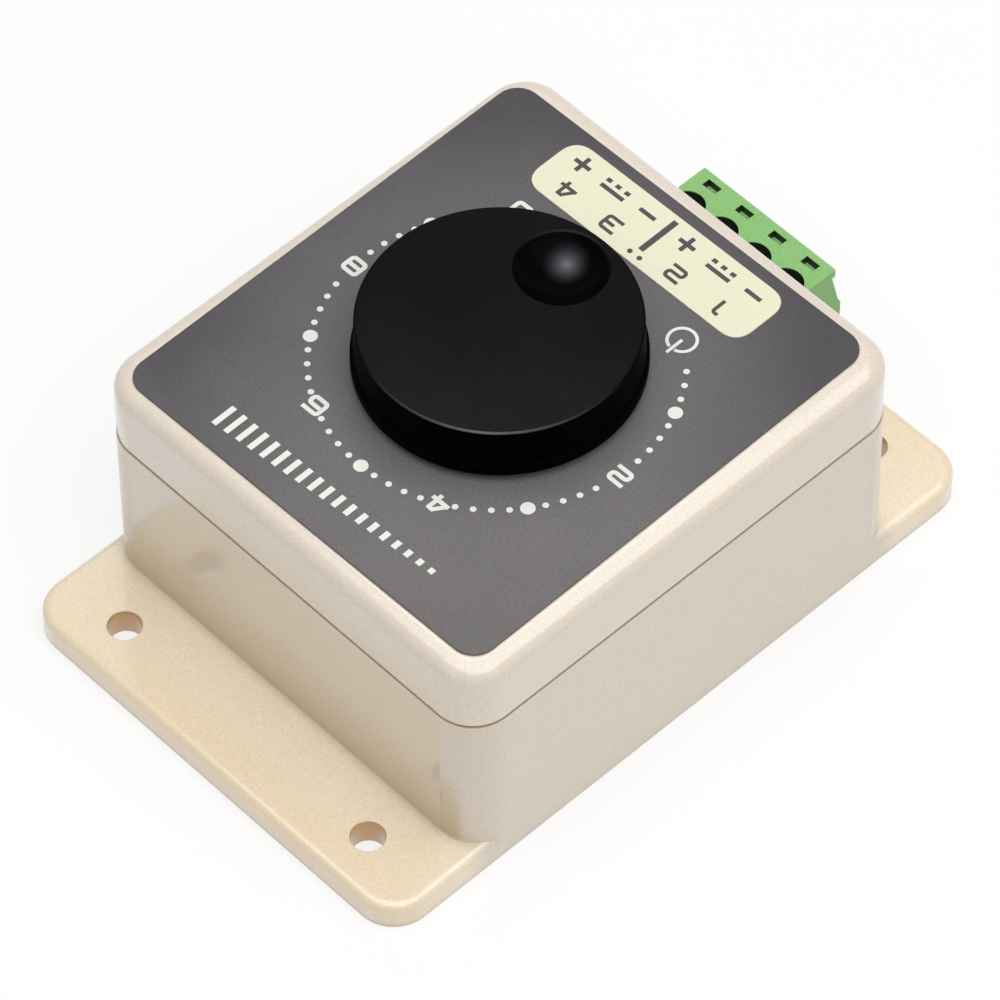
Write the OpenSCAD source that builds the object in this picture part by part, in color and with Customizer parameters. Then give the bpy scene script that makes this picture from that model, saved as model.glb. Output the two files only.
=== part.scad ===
// Wall-mount speed controller for a small DC motor: a two-shell plastic box
// with mounting flanges, a large dial knob and a four-pole plug-in terminal.
// X runs along the reading direction of the panel, Y up the panel, Z out of it.

/* [Case] */
// Width of the box and of its base plate
case_w = 58.4; // [56:0.2:76]
// Length of the box between the two flanges
case_l = 64; // [62:0.5:84]
// Height of the joint between case and cover
part_z = 24.6; // [24:0.2:30]
// Thickness of the walls
wall = 2.2; // [1.8:0.1:2.8]
// Thickness of the floor
floor_t = 2.4; // [1.8:0.1:3.4]
// Radius of the upright corners of the box
corner_r = 5; // [4:0.1:7]

/* [Flanges] */
// Length over both mounting flanges
base_l = 87.6; // [86:0.2:120]
// Thickness of the flanges
flange_t = 3.6; // [2.8:0.1:5]
// Corner radius of the flanges
flange_r = 4.6; // [3:0.1:6]
// Rounding of the flanges' top edge
flange_edge = 0.9; // [0.4:0.1:1.4]
// Diameter of the four mounting holes
hole_d = 3.9; // [3:0.1:5]
// Spacing of the mounting holes across the box
hole_span_x = 38.7; // [30:0.1:44]
// Spacing of the mounting holes along the box
hole_span_y = 76; // [75:0.1:78]

/* [Cover] */
// Height of the cover
cover_h = 8.7; // [8:0.1:12]
// Thickness of the cover's top
cover_top_t = 2.2; // [1.8:0.1:2.8]
// Rounding of the cover's top edge
cover_edge = 2; // [1:0.1:2.4]
// Height of the open groove where the two shells meet
reveal_h = 0.4; // [0.2:0.05:0.6]
// Depth of that groove
reveal_d = 0.7; // [0.4:0.05:0.9]

/* [Front panel] */
// Width of the printed panel sheet
panel_w = 53.4; // [48:0.2:53.8]
// Length of the printed panel sheet
panel_l = 59.2; // [50:0.2:59.6]
// Thickness of the panel sheet
panel_t = 0.3; // [0.2:0.05:0.5]
// Corner radius of the panel sheet
panel_r = 2.8; // [2:0.1:4]
// Angle by which the sheet was laid on askew
panel_turn = 0.9; // [0:0.1:1.5]
// Sideways slip of the sheet
panel_dx = 0.4; // [0:0.05:0.5]
// Lengthways slip of the sheet
panel_dy = 0.1; // [0:0.05:0.3]

/* [Terminal label] */
// Length of the pale label over the terminals
label_w = 30.8; // [24:0.2:34]
// Width of the pale label
label_l = 7.1; // [5:0.1:7.4]
// Thickness of the pale label
label_t = 0.2; // [0.1:0.05:0.3]
// Corner radius of the pale label
label_r = 2; // [1:0.1:2.4]

/* [Knob] */
// Diameter of the knob's grip
knob_d = 31.2; // [28:0.2:34]
// Diameter of the skirt round the knob's foot
skirt_d = 31.9; // [29:0.1:35]
// Height of the knob
knob_h = 6.5; // [6:0.1:9]
// Gap between the knob and the panel
knob_gap = 1.1; // [0.6:0.1:1.6]
// Thickness of the knob's top
knob_cap = 1.5; // [1.2:0.1:2]
// Diameter of the finger dimple
dimple_d = 10.4; // [8:0.1:11]
// Depth of the finger dimple
dimple_depth = 2.2; // [1.4:0.1:2.4]
// Distance from the knob's axis to the dimple's centre
dimple_out = 9.6; // [8.6:0.1:10]
// Angle of the dimple from straight down the panel
dimple_turn = 3; // [0:1:90]

/* [Potentiometer] */
// Diameter of the shaft
shaft_d = 6; // [5:0.1:6.2]
// Diameter of the threaded bushing
bushing_d = 7.4; // [7.2:0.1:9]
// Diameter of the metal can
can_d = 16.8; // [16:0.2:20]
// Height of the metal can
can_h = 6.6; // [6:0.1:8]
// Height of the switch under the can
switch_h = 5.8; // [4:0.1:6.4]

/* [Terminal] */
// Spacing of the poles
pitch = 5.08; // [5:0.01:5.2]
// How far the plug's top lip stands out of the wall
plug_reach = 8.95; // [8.6:0.05:12]
// Depth to which the plug enters its header
insert_depth = 6.6; // [5:0.1:7]
// Diameter of the screwdriver wells
well_d = 4.2; // [4:0.05:4.3]
// Diameter of the clamp screws
clamp_d = 2.9; // [2.5:0.05:3]
// Height of the window through each clamp
clamp_window = 3.2; // [2.6:0.1:3.4]

/* [Board] */
// Thickness of the circuit board
board_t = 1.6; // [1.2:0.1:2]
// Height of the posts under the board
standoff_h = 4.5; // [3.5:0.1:5]
// Diameter of the large capacitors
bulk_d = 10; // [8:0.5:12]
// Height of the large capacitors
bulk_h = 16; // [12:0.5:17]

/* [Hidden] */
$fn = 96;

// Overrun of every cut past the face it opens
over = 0.5;
// Number of poles of the terminal
poles = 4;

// Case and cover
tongue_t = 0.8;
tongue_h = 1.4;
tongue_gap = 0.15;
cover_inset = 0.1;
post_d = 7;
post_bite = 0.6;
case_screw_d = 2.9;
case_screw_gap = 0.25;
case_head_d = 5.6;
case_head_h = 2;
case_head_gap = 0.3;
case_head_sink = 3;
case_screw_bite = 5;
inner_w = case_w - 2 * wall;
inner_l = case_l - 2 * wall;
inner_r = corner_r - wall;
post_x = inner_w / 2 - post_d / 2 + post_bite;
post_y = inner_l / 2 - post_d / 2 + post_bite;
cover_z = part_z + cover_h;
ceiling_z = cover_z - cover_top_t;
panel_z = cover_z + panel_t;

// Label on the panel, above the terminals
label_turn = 0.1;
label_dx = 0.5;
label_edge_gap = 1.95;

// Potentiometer, from the ceiling down
bushing_fit = 0.2;
bushing_len = 5.3;
shaft_fit = 0.05;
shaft_flat_share = 0.25;
shaft_tip_gap = 0.2;
can_t = 0.8;
can_z = ceiling_z - can_h;
wafer_t = 1.2;
wafer_z = can_z - wafer_t;
wafer_tab_w = 14;
wafer_tab_out = 4.4;
switch_z = wafer_z - switch_h;
switch_tab_t = 1.4;
switch_tab_w = 9;
switch_tab_out = 3.2;
tab_key_w = 2.4;
tab_key_t = 1;
tab_key_h = 1.2;
tab_key_fit = 0.15;
tab_key_x = (can_d - tab_key_t) / 2 - can_t;
rotor_d = 12.4;
rotor_t = 2.2;
rotor_lift = 1.6;
rotor_z = can_z + rotor_lift;
wiper_t = 0.25;
wiper_w = 1.4;
wiper_gap = 0.2;
wiper_foot_d = 1;
track_d_share = 0.8;
pin_w = 0.8;
pin_pitch = 5;
pin_tail = 1.2;
pin_hole_gap = 0.25;
washer_d = 12;
washer_t = 0.5;
washer_fit = 0.15;
nut_flats = 10;
nut_t = 2;
bushing_z = ceiling_z + bushing_len;

// Knob, from the panel up
knob_z = panel_z + knob_gap;
knob_top = knob_z + knob_h;
knob_wall = 1.8;
knob_taper = 0.15;
knob_chamfer = 0.35;
skirt_h = 1.3;
hub_d = 10;
hub_lift = 0.4;
hub_z = bushing_z + hub_lift;
roof_z = knob_top - knob_cap;
rib_t = 1;
ribs = 6;
dimple_wall = 1;
dimple_round = (pow(dimple_d / 2, 2) + pow(dimple_depth, 2)) / (2 * dimple_depth);

// Circuit board and what holds it
board_gap = 0.5;
board_z = floor_t + standoff_h;
board_top = board_z + board_t;
board_w = inner_w - 2 * board_gap;
board_l = inner_l - 2 * board_gap;
notch_w = board_w / 2 - (post_x - post_d / 2 - board_gap);
notch_l = board_l / 2 - (post_y - post_d / 2 - board_gap);
standoff_d = 6;
board_screw_d = 2.5;
board_screw_len = 5.5;
board_head_d = 5;
board_head_h = 1.8;
board_hole_gap = 0.3;
thread_fit = 0.05;
board_screw_x = board_w / 2 - board_head_d / 2 - board_gap;
board_screw_y = board_l / 2 - notch_l - board_head_d / 2 - board_gap;

// Plug and header; outward means away from the wall they pass through
plug_w = poles * pitch;
plug_lift = 0.6;
plug_top_gap = 0.8;
plug_z = board_top + plug_lift;
plug_top = part_z - plug_top_gap;
plug_lip = case_l / 2 + plug_reach;
lip_h = 1.2;
lip_in = 0.45;
slope_h = 4.3;
slope_out = 1.05;
ledge_h = 0.9;
ledge_out = 0.45;
mouth_gap = 0.6;
header_front = board_l / 2;
plug_back = header_front + mouth_gap;
insert_lift = 0.3;
insert_h = 6.8;
insert_tail = header_front - insert_depth;
insert_z = plug_z + insert_lift;
insert_fit = 0.2;
key_w = 1.4;
key_h = 0.6;
wall_fit = 0.35;
screw_setback = 5.25;
screw_out = plug_lip - screw_setback;
pocket_w = 2;
pocket_l = 1.1;
pocket_h = 2.4;
pocket_setback = 1.4;

// Clamp inside each pole, from the chamber's floor up
chamber_w = 3.8;
chamber_l = 4;
chamber_floor = 0.9;
cage_w = 3.4;
cage_l = 3.5;
cage_side = 0.5;
cage_base = 0.8;
cage_cap = 1.2;
cage_rest = 0.2;
bar_t = 0.5;
bar_w = 1.6;
bar_gap = 0.1;
bar_fit = 0.2;
wire_min = 0.2;
shoulder_t = 0.9;
clamp_fit = 0.05;
clamp_head_h = 1.7;
clamp_head_fit = 0.15;
slot_w = 0.7;
slot_deep = 0.8;
clamp_travel = clamp_window - bar_t - bar_gap - wire_min;
chamber_z = plug_z + chamber_floor;
cage_z = chamber_z + cage_rest;
cage_h = cage_base + clamp_window + cage_cap;
chamber_top = cage_z + cage_h + clamp_travel + cage_rest;
shoulder_z = chamber_top + shoulder_t;
bar_z = cage_z + cage_base + clamp_window - bar_gap - bar_t;
clamp_tip_z = bar_z + bar_t + bar_gap;
wire_d = 3;
wire_z = (cage_z + cage_base + bar_z) / 2;
funnel_d = 4;
funnel_l = 1;

// Contact spring and header pin of each pole
spring_t = 0.5;
post_w = 1;
post_gap = 0.3;
post_z = bar_z - post_gap - post_w;
spring_z = post_z - post_gap - spring_t;
spring_back = insert_tail + spring_t;
spring_web = plug_back + spring_t;
post_tip_gap = 1.2;
header_wall = 1;
header_depth = 12;
header_back = header_front - header_depth;
header_tail = 2;
header_leg = header_back + header_tail;
header_floor = insert_z - insert_fit - board_top;
header_h = header_floor + insert_h + 2 * insert_fit + header_wall;
post_fit = 0.03;

// Power parts along the two long edges of the board
edge_gap = 1;
sink_l = 20;
sink_h = 20;
sink_plate = 2;
sink_fin_t = 1;
sink_fins = 5;
tab_w = 10;
tab_t = 1.3;
tab_h = 15.5;
tab_z = board_top + 4;
tab_hole_d = 3.6;
tab_hole_drop = 2.8;
body_t = 4.4;
body_h = 9;
body_step = 0.1;
lead_w = 0.8;
lead_pitch = 2.54;
sink_x = -(can_d / 2 + edge_gap + body_t + tab_t);
sink_fin = board_w / 2 - edge_gap - sink_plate + sink_x;
lead_x = sink_x + body_t / 2 + tab_t;
sink_screw_d = 2.9;
sink_head_d = 5.4;
sink_head_h = 2;
bulk_x = board_w / 2 - edge_gap - bulk_d / 2;
bulk_step = 1.2;
bulk_lead_d = 0.7;
bulk_lead_span = 5;
bulk_groove = 0.5;
bulk_groove_z = 2;
diode_d = 5;
diode_l = 9.4;
diode_lift = 0.4;
diode_lead_d = 1.2;
diode_span = 13;
diode_y = -(header_back - edge_gap - diode_d / 2);

// Small parts on the middle of the board
chip_l = 9.4;
chip_w = 6.4;
chip_h = 3.4;
chip_lift = 0.5;
chip_pitch = 2.54;
chip_rows = 7.62;
chip_leg_w = 0.5;
chip_leg_t = 0.25;
chip_legs = 4;
chip_y = -3;
film_w = 7.2;
film_l = 2.6;
film_h = 6.5;
film_x = 12.5;
film_y = 20;
resistor_d = 2.3;
resistor_l = 6.3;
resistor_waist_share = 0.82;
resistor_end_share = 0.22;
resistor_span = 10.16;
resistor_lead_d = 0.6;
resistor_gap = 3.8;
resistor_lift = 0.2;
resistors_n = 4;
resistor_x = -3.5;
resistor_y = 15.6;
lead_tail = 1;

shell_color = "#d8cfc2";
panel_color = "#625f62";
label_color = "#fdfad8";
knob_color = "#1f1f21";
terminal_color = "#7fc46c";
steel_color = "#b9bcc0";
brass_color = "#c9a650";
tin_color = "#cfd0cf";
board_color = "#1f6a3a";

// Outline of a block's edge, from its corner's centre outward, rounded on top
module edge_profile(r, h, e) {
    if (e > 0) {
        square([r - e, h]);
        square([r, h - e]);
        translate([r - e, h - e]) circle(e);
    } else {
        square([r, h]);
    }
}

// Upright block centred on the axis, with corner radius r and top edge radius e
module round_block(w, l, h, r, e = 0) {
    cx = w / 2 - r;
    cy = l / 2 - r;
    translate([-cx, -cy, 0]) cube([2 * cx, 2 * cy, h]);
    for (half = [0, 180]) rotate([0, 0, half]) {
        translate([cx, cy, 0]) rotate([90, 0, 0]) linear_extrude(2 * cy) edge_profile(r, h, e);
        rotate([0, 0, 90]) translate([cy, cx, 0]) rotate([90, 0, 0])
            linear_extrude(2 * cx) edge_profile(r, h, e);
        translate([cx, cy, 0]) rotate_extrude(angle = 90) edge_profile(r, h, e);
        translate([-cx, cy, 0]) rotate([0, 0, 90]) rotate_extrude(angle = 90) edge_profile(r, h, e);
    }
}

// Places of the four corners of a rectangle
module at_corners(x, y) {
    for (sx = [-1, 1], sy = [-1, 1]) translate([sx * x, sy * y, 0]) children();
}

// Middle of one pole, counted from 1
function pole_x(n) = (n - (poles + 1) / 2) * pitch;

// Extrudes an outline of outward distance and height across the terminal
module across(x, w) {
    translate([x + w / 2, 0, 0]) rotate([90, 0, -90]) linear_extrude(w) children();
}

// Square-cut box between two outward distances, two heights, centred on x
module pole_box(x, w, out_a, out_b, z_a, z_b) {
    translate([x - w / 2, -max(out_a, out_b), z_a]) cube([w, abs(out_a - out_b), z_b - z_a]);
}

// Upright rod from one height to another
module rod(d, z_a, z_b) {
    translate([0, 0, z_a]) cylinder(h = z_b - z_a, d = d);
}

// Lower shell with floor, flanges, screw posts and board posts
module lower_case() {
    color(shell_color) difference() {
        union() {
            difference() {
                union() {
                    round_block(case_w, base_l, flange_t, flange_r, flange_edge);
                    round_block(case_w, case_l, part_z - reveal_h, corner_r);
                    round_block(case_w - 2 * reveal_d, case_l - 2 * reveal_d, part_z,
                        corner_r - reveal_d);
                    round_block(inner_w + 2 * tongue_t, inner_l + 2 * tongue_t, part_z + tongue_h,
                        inner_r + tongue_t);
                }
                translate([0, 0, floor_t]) round_block(inner_w, inner_l, part_z + tongue_h, inner_r);
            }
            at_corners(post_x, post_y) rod(post_d, floor_t - over, part_z);
            at_corners(board_screw_x, board_screw_y) rod(standoff_d, floor_t - over, board_z);
        }
        at_corners(hole_span_x / 2, hole_span_y / 2) rod(hole_d, -over, flange_t + over);
        at_corners(post_x, post_y) {
            rod(case_screw_d + 2 * case_screw_gap, -over, part_z + over);
            rod(case_head_d + 2 * case_head_gap, -over, case_head_sink);
        }
        at_corners(board_screw_x, board_screw_y)
            rod(board_screw_d + 2 * thread_fit, floor_t, board_z + over);
        pole_box(0, plug_w + 2 * wall_fit, case_l / 2 + over, inner_l / 2 - over,
            plug_z - wall_fit, part_z + tongue_h + over);
    }
}

// Upper shell with the bushing hole, four screw posts and the rim's rebate
module upper_cover() {
    color(shell_color) difference() {
        union() {
            difference() {
                translate([0, 0, part_z]) round_block(case_w - 2 * cover_inset,
                    case_l - 2 * cover_inset, cover_h, corner_r - cover_inset, cover_edge);
                translate([0, 0, part_z - over])
                    round_block(inner_w, inner_l, ceiling_z - part_z + over, inner_r);
            }
            at_corners(post_x, post_y) rod(post_d, part_z, ceiling_z + over);
        }
        difference() {
            translate([0, 0, part_z - over]) round_block(inner_w + 2 * (tongue_t + tongue_gap),
                inner_l + 2 * (tongue_t + tongue_gap), tongue_h + tongue_gap + over,
                inner_r + tongue_t + tongue_gap);
            translate([0, 0, part_z - 2 * over]) round_block(inner_w - 2 * tongue_gap,
                inner_l - 2 * tongue_gap, tongue_h + tongue_gap + 3 * over, inner_r - tongue_gap);
        }
        at_corners(post_x, post_y)
            rod(case_screw_d + 2 * thread_fit, part_z - over, part_z + case_screw_bite + over);
        rod(bushing_d + 2 * bushing_fit, ceiling_z - over, cover_z + over);
        translate([tab_key_x - tab_key_t / 2 - tab_key_fit, -tab_key_w / 2 - tab_key_fit, ceiling_z - over])
            cube([tab_key_t + 2 * tab_key_fit, tab_key_w + 2 * tab_key_fit,
                tab_key_h + tab_key_fit + over]);
    }
}

// Countersunk-in screws that draw the cover down from below
module cover_screws() {
    color(steel_color) at_corners(post_x, post_y) difference() {
        union() {
            rod(case_head_d, case_head_sink - case_head_h, case_head_sink);
            rod(case_screw_d, case_head_sink - case_head_h / 2, part_z + case_screw_bite);
        }
        cross_recess(case_head_d / 2, case_head_sink - case_head_h, 1);
    }
}

// Cross recess cut into a screw head at height z, going up or down
module cross_recess(reach, z, way) {
    for (turn = [0, 90]) rotate([0, 0, turn])
        translate([-reach / 2, -slot_w / 2, way > 0 ? z - over : z - slot_deep])
            cube([reach, slot_w, slot_deep + over]);
}

// Printed sheet stuck on the cover, laid on slightly askew
module face_panel() {
    color(panel_color) difference() {
        translate([panel_dx, panel_dy, cover_z]) rotate([0, 0, panel_turn])
            round_block(panel_w, panel_l, panel_t, panel_r);
        rod(bushing_d + 2 * bushing_fit, cover_z - over, panel_z + over);
    }
}

// Pale label that marks the four terminals
module terminal_label() {
    color(label_color) translate([panel_dx, panel_dy, panel_z]) rotate([0, 0, panel_turn])
        translate([label_dx, -panel_l / 2 + label_edge_gap + label_l / 2, 0])
            rotate([0, 0, label_turn]) round_block(label_w, label_l, label_t, label_r);
}

// Side outline of the knob's shell, from the skirt up to the chamfered top
module knob_outline() {
    polygon([[0, knob_z], [skirt_d / 2, knob_z], [skirt_d / 2, knob_z + skirt_h],
        [knob_d / 2, knob_z + skirt_h], [knob_d / 2 - knob_taper, knob_top - knob_chamfer],
        [knob_d / 2 - knob_taper - knob_chamfer, knob_top], [0, knob_top]]);
}

// Shaft section with its flat, grown by a fit
module flatted_rod(d, fit, z_a, z_b) {
    difference() {
        rod(d + 2 * fit, z_a, z_b);
        translate([d * (1 - 2 * shaft_flat_share) / 2 + fit, -d, z_a - over])
            cube([d, 2 * d, z_b - z_a + 2 * over]);
    }
}

// Hollow dial knob with a ribbed underside and a finger dimple
module knob() {
    color(knob_color) rotate([0, 0, dimple_turn]) difference() {
        union() {
            difference() {
                rotate_extrude() knob_outline();
                rod(knob_d - 2 * knob_wall, knob_z - over, roof_z);
            }
            rod(hub_d, hub_z, roof_z + over);
            for (n = [0:ribs - 1]) rotate([0, 0, (n + 0.5) * 360 / ribs])
                translate([shaft_d / 2 + rib_t, -rib_t / 2, hub_z])
                    cube([knob_d / 2 - knob_wall / 2 - shaft_d / 2 - rib_t, rib_t, roof_z - hub_z + over]);
            translate([0, -dimple_out, 0])
                rod(dimple_d + 2 * dimple_wall, knob_top - dimple_depth - dimple_wall, roof_z + over);
        }
        translate([0, -dimple_out, knob_top - dimple_depth + dimple_round]) sphere(dimple_round);
        flatted_rod(shaft_d, shaft_fit, hub_z - over, roof_z);
    }
}

// Flatted shaft that carries the knob
module pot_shaft() {
    color(tin_color) union() {
        rod(shaft_d, rotor_z, bushing_z);
        rotate([0, 0, dimple_turn]) flatted_rod(shaft_d, 0, bushing_z, roof_z - shaft_tip_gap);
    }
}

// Moulded rotor on the foot of the shaft
module pot_rotor() {
    color("#e8e4da") difference() {
        rod(rotor_d, rotor_z, rotor_z + rotor_t);
        rod(shaft_d, rotor_z - over, rotor_z + rotor_t + over);
    }
}

// Bronze bridge that slides on the resistance track
module pot_wiper() {
    color(brass_color) union() {
        translate([-rotor_d / 2, -wiper_w / 2, rotor_z - wiper_t]) cube([rotor_d, wiper_w, wiper_t]);
        for (side = [-1, 1]) translate([side * rotor_d * track_d_share / 2, 0, 0])
            rod(wiper_foot_d, can_z + wiper_gap, rotor_z - wiper_t / 2);
    }
}

// Threaded neck that passes through the cover
module pot_bushing() {
    color(brass_color) difference() {
        rod(bushing_d, ceiling_z, bushing_z);
        rod(shaft_d + 2 * shaft_fit, ceiling_z - over, bushing_z + over);
    }
}

// Drawn metal can with its locating tab
module pot_can() {
    color(steel_color) difference() {
        union() {
            rod(can_d, can_z, ceiling_z);
            translate([tab_key_x - tab_key_t / 2, -tab_key_w / 2, ceiling_z - can_t])
                cube([tab_key_t, tab_key_w, tab_key_h + can_t]);
        }
        rod(can_d - 2 * can_t, can_z - over, ceiling_z - can_t);
        rod(shaft_d + 2 * shaft_fit, ceiling_z - can_t - over, ceiling_z + over);
    }
}

// Laminate wafer with the resistance track and the tab for its three pins
module pot_wafer() {
    color("#7a4a2a") difference() {
        union() {
            rod(can_d, wafer_z, can_z);
            translate([-wafer_tab_w / 2, 0, wafer_z])
                cube([wafer_tab_w, can_d / 2 + wafer_tab_out, wafer_t]);
        }
        for (n = [-1, 0, 1]) translate([n * pin_pitch, track_pin_y, 0])
            rod(pin_w, wafer_z - over, can_z + over);
    }
}

track_pin_y = can_d / 2 + wafer_tab_out / 2;
switch_pin_y = can_d / 2 + switch_tab_out / 2;

// Rotary switch behind the potentiometer
module pot_switch() {
    color("#2b2b2d") difference() {
        union() {
            rod(can_d, switch_z, wafer_z);
            translate([-switch_tab_w / 2, -can_d / 2 - switch_tab_out, switch_z])
                cube([switch_tab_w, can_d / 2 + switch_tab_out, switch_tab_t]);
        }
        for (side = [-0.5, 0.5]) translate([side * pin_pitch, -switch_pin_y, 0])
            rod(pin_w, switch_z - over, switch_z + switch_tab_t + over);
    }
}

// Straight pins that carry the potentiometer's five contacts to the board
module pot_pins() {
    color(tin_color) {
        for (n = [-1, 0, 1]) translate([n * pin_pitch, track_pin_y, 0])
            rod(pin_w, board_z - pin_tail, can_z);
        for (side = [-0.5, 0.5]) translate([side * pin_pitch, -switch_pin_y, 0])
            rod(pin_w, board_z - pin_tail, switch_z + switch_tab_t);
    }
}

// Washer under the nut
module pot_washer() {
    color(steel_color) difference() {
        rod(washer_d, panel_z, panel_z + washer_t);
        rod(bushing_d + 2 * washer_fit, panel_z - over, panel_z + washer_t + over);
    }
}

// Hexagon nut that holds the potentiometer to the cover
module pot_nut() {
    color(steel_color) difference() {
        translate([0, 0, panel_z + washer_t]) cylinder(h = nut_t, d = nut_flats / cos(30), $fn = 6);
        rod(bushing_d + 2 * thread_fit, panel_z, panel_z + washer_t + nut_t + over);
    }
}

// Places of all leads that go through the board, with their hole diameters
module at_board_holes() {
    for (n = [-1, 0, 1]) translate([n * pin_pitch, track_pin_y, 0]) board_hole(pin_w);
    for (side = [-0.5, 0.5]) translate([side * pin_pitch, -switch_pin_y, 0]) board_hole(pin_w);
    for (n = [1:poles]) translate([pole_x(n), -header_leg, 0]) board_hole(post_w * sqrt(2));
    for (n = [-1, 0, 1]) translate([lead_x, n * lead_pitch, 0]) board_hole(lead_w * sqrt(2));
    for (sy = [-1, 1], side = [-0.5, 0.5]) translate([bulk_x, sy * bulk_y, 0])
        translate([0, side * bulk_lead_span, 0]) board_hole(bulk_lead_d);
    for (side = [-0.5, 0.5]) translate([side * diode_span, diode_y, 0]) board_hole(diode_lead_d);
    for (n = [0:chip_legs - 1], side = [-0.5, 0.5])
        translate([leg_place(n), chip_y + side * chip_rows, 0]) board_hole(chip_leg_w * sqrt(2));
    for (n = [0:resistors_n - 1], side = [-0.5, 0.5])
        translate([resistor_x + side * resistor_span, resistor_y + n * resistor_gap, 0])
            board_hole(resistor_lead_d);
}

bulk_y = bulk_d / 2 + bulk_step / 2;
function leg_place(n) = (n - (chip_legs - 1) / 2) * chip_pitch;

module board_hole(d) {
    rod(d + 2 * pin_hole_gap, board_z - over, board_top + over);
}

// Circuit board, notched round the screw posts
module circuit_board() {
    color(board_color) difference() {
        translate([-board_w / 2, -board_l / 2, board_z]) cube([board_w, board_l, board_t]);
        at_corners(board_w / 2, board_l / 2) translate([-notch_w, -notch_l, board_z - over])
            cube([2 * notch_w, 2 * notch_l, board_t + 2 * over]);
        at_corners(board_screw_x, board_screw_y)
            rod(board_screw_d + 2 * board_hole_gap, board_z - over, board_top + over);
        at_board_holes();
    }
}

// Pan-head screws that hold the board on its posts
module board_screws() {
    color(steel_color) at_corners(board_screw_x, board_screw_y) difference() {
        union() {
            rod(board_head_d, board_top, board_top + board_head_h);
            rod(board_screw_d, board_top - board_screw_len, board_top + board_head_h / 2);
        }
        cross_recess(board_head_d / 2, board_top + board_head_h, -1);
    }
}

// Outline of one bent header pin, grown by a fit
module header_pin(x, fit) {
    pole_box(x, post_w + 2 * fit, header_front - post_tip_gap, header_leg - post_w / 2 - fit,
        post_z - fit, post_z + post_w + fit);
    pole_box(x, post_w + 2 * fit, header_leg + post_w / 2 + fit, header_leg - post_w / 2 - fit,
        board_z - pin_tail, post_z + post_w / 2);
}

// Header on the board that the plug is pushed into
module header_housing() {
    outer_w = plug_w + 2 * (insert_fit + header_wall);
    color(terminal_color) difference() {
        pole_box(0, outer_w, header_front, header_back, board_top, board_top + header_h);
        pole_box(0, plug_w + 2 * insert_fit, header_front + over, insert_tail - insert_fit,
            insert_z - insert_fit, insert_z + insert_h + insert_fit);
        for (n = [1:poles]) {
            header_pin(pole_x(n), post_fit);
            pole_box(pole_x(n), key_w + 2 * insert_fit, header_front + over,
                insert_tail - insert_fit, insert_z + insert_h, board_top + header_h + over);
        }
    }
}

// Four square pins bent down into the board
module header_pins() {
    color(tin_color) for (n = [1:poles]) header_pin(pole_x(n), 0);
}

// Side outline of the plug's front block
module plug_outline() {
    brow = plug_top - lip_h;
    knee = brow - slope_h;
    foot_out = plug_lip - lip_in + slope_out + ledge_out;
    polygon([[plug_back, plug_z], [foot_out, plug_z], [foot_out, knee - ledge_h],
        [plug_lip - lip_in + slope_out, knee], [plug_lip - lip_in, brow], [plug_lip, brow],
        [plug_lip, plug_top], [plug_back, plug_top]]);
}

// Everything that is hollow in one pole of the plug
module plug_pole(n) {
    x = pole_x(n);
    foot_out = plug_lip - lip_in + slope_out + ledge_out;
    translate([x, -screw_out, 0]) {
        rod(well_d, shoulder_z, plug_top + over);
        rod(clamp_d + 2 * clamp_fit, chamber_top - over, shoulder_z + over);
    }
    pole_box(x, chamber_w, screw_out + chamber_l / 2, screw_out - chamber_l / 2,
        chamber_z, chamber_top);
    translate([x, -foot_out - over, wire_z]) rotate([-90, 0, 0])
        cylinder(h = foot_out - screw_out + over, d = wire_d);
    translate([x, -foot_out, wire_z]) rotate([-90, 0, 0])
        cylinder(h = funnel_l, d1 = funnel_d, d2 = wire_d);
    pole_box(x, pocket_w, plug_lip - pocket_setback + pocket_l / 2,
        plug_lip - pocket_setback - pocket_l / 2, plug_top - pocket_h, plug_top + over);
    pole_box(x, bar_w + 2 * bar_fit, screw_out, spring_web - spring_t - bar_fit,
        bar_z - bar_fit, bar_z + bar_t + bar_fit);
    pole_box(x, bar_w + 2 * bar_fit, spring_web + bar_fit, insert_tail - over,
        spring_z, bar_z + bar_t + bar_fit);
}

// Body of the plug with its screw wells, wire entries and sockets
module plug_housing() {
    color(terminal_color) difference() {
        union() {
            across(0, plug_w) plug_outline();
            pole_box(0, plug_w, plug_back + over, insert_tail, insert_z, insert_z + insert_h);
            for (n = [1:poles]) pole_box(pole_x(n), key_w, plug_back + over, insert_tail,
                insert_z + insert_h - over, insert_z + insert_h + key_h);
        }
        for (n = [1:poles]) plug_pole(n);
    }
}

// Contact of each pole: a bar through the clamp and a spring round the pin
module plug_contacts() {
    bar_end = screw_out + cage_l / 2;
    color(brass_color) for (n = [1:poles]) across(pole_x(n), bar_w)
        polygon([[bar_end, bar_z], [bar_end, bar_z + bar_t], [spring_back, bar_z + bar_t],
            [spring_back, bar_z], [spring_web - spring_t, bar_z],
            [spring_web - spring_t, spring_z + spring_t], [spring_back, spring_z + spring_t],
            [spring_back, spring_z], [spring_web, spring_z], [spring_web, bar_z]]);
}

// Slotted clamp screw with its head on the well's shoulder
module clamp_screw(n) {
    color(steel_color) translate([pole_x(n), -screw_out, 0]) difference() {
        union() {
            rod(well_d - 2 * clamp_head_fit, shoulder_z, shoulder_z + clamp_head_h);
            rod(clamp_d, clamp_tip_z, shoulder_z + clamp_head_h / 2);
        }
        translate([-well_d, -slot_w / 2, shoulder_z + clamp_head_h - slot_deep])
            cube([2 * well_d, slot_w, slot_deep + over]);
    }
}

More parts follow.
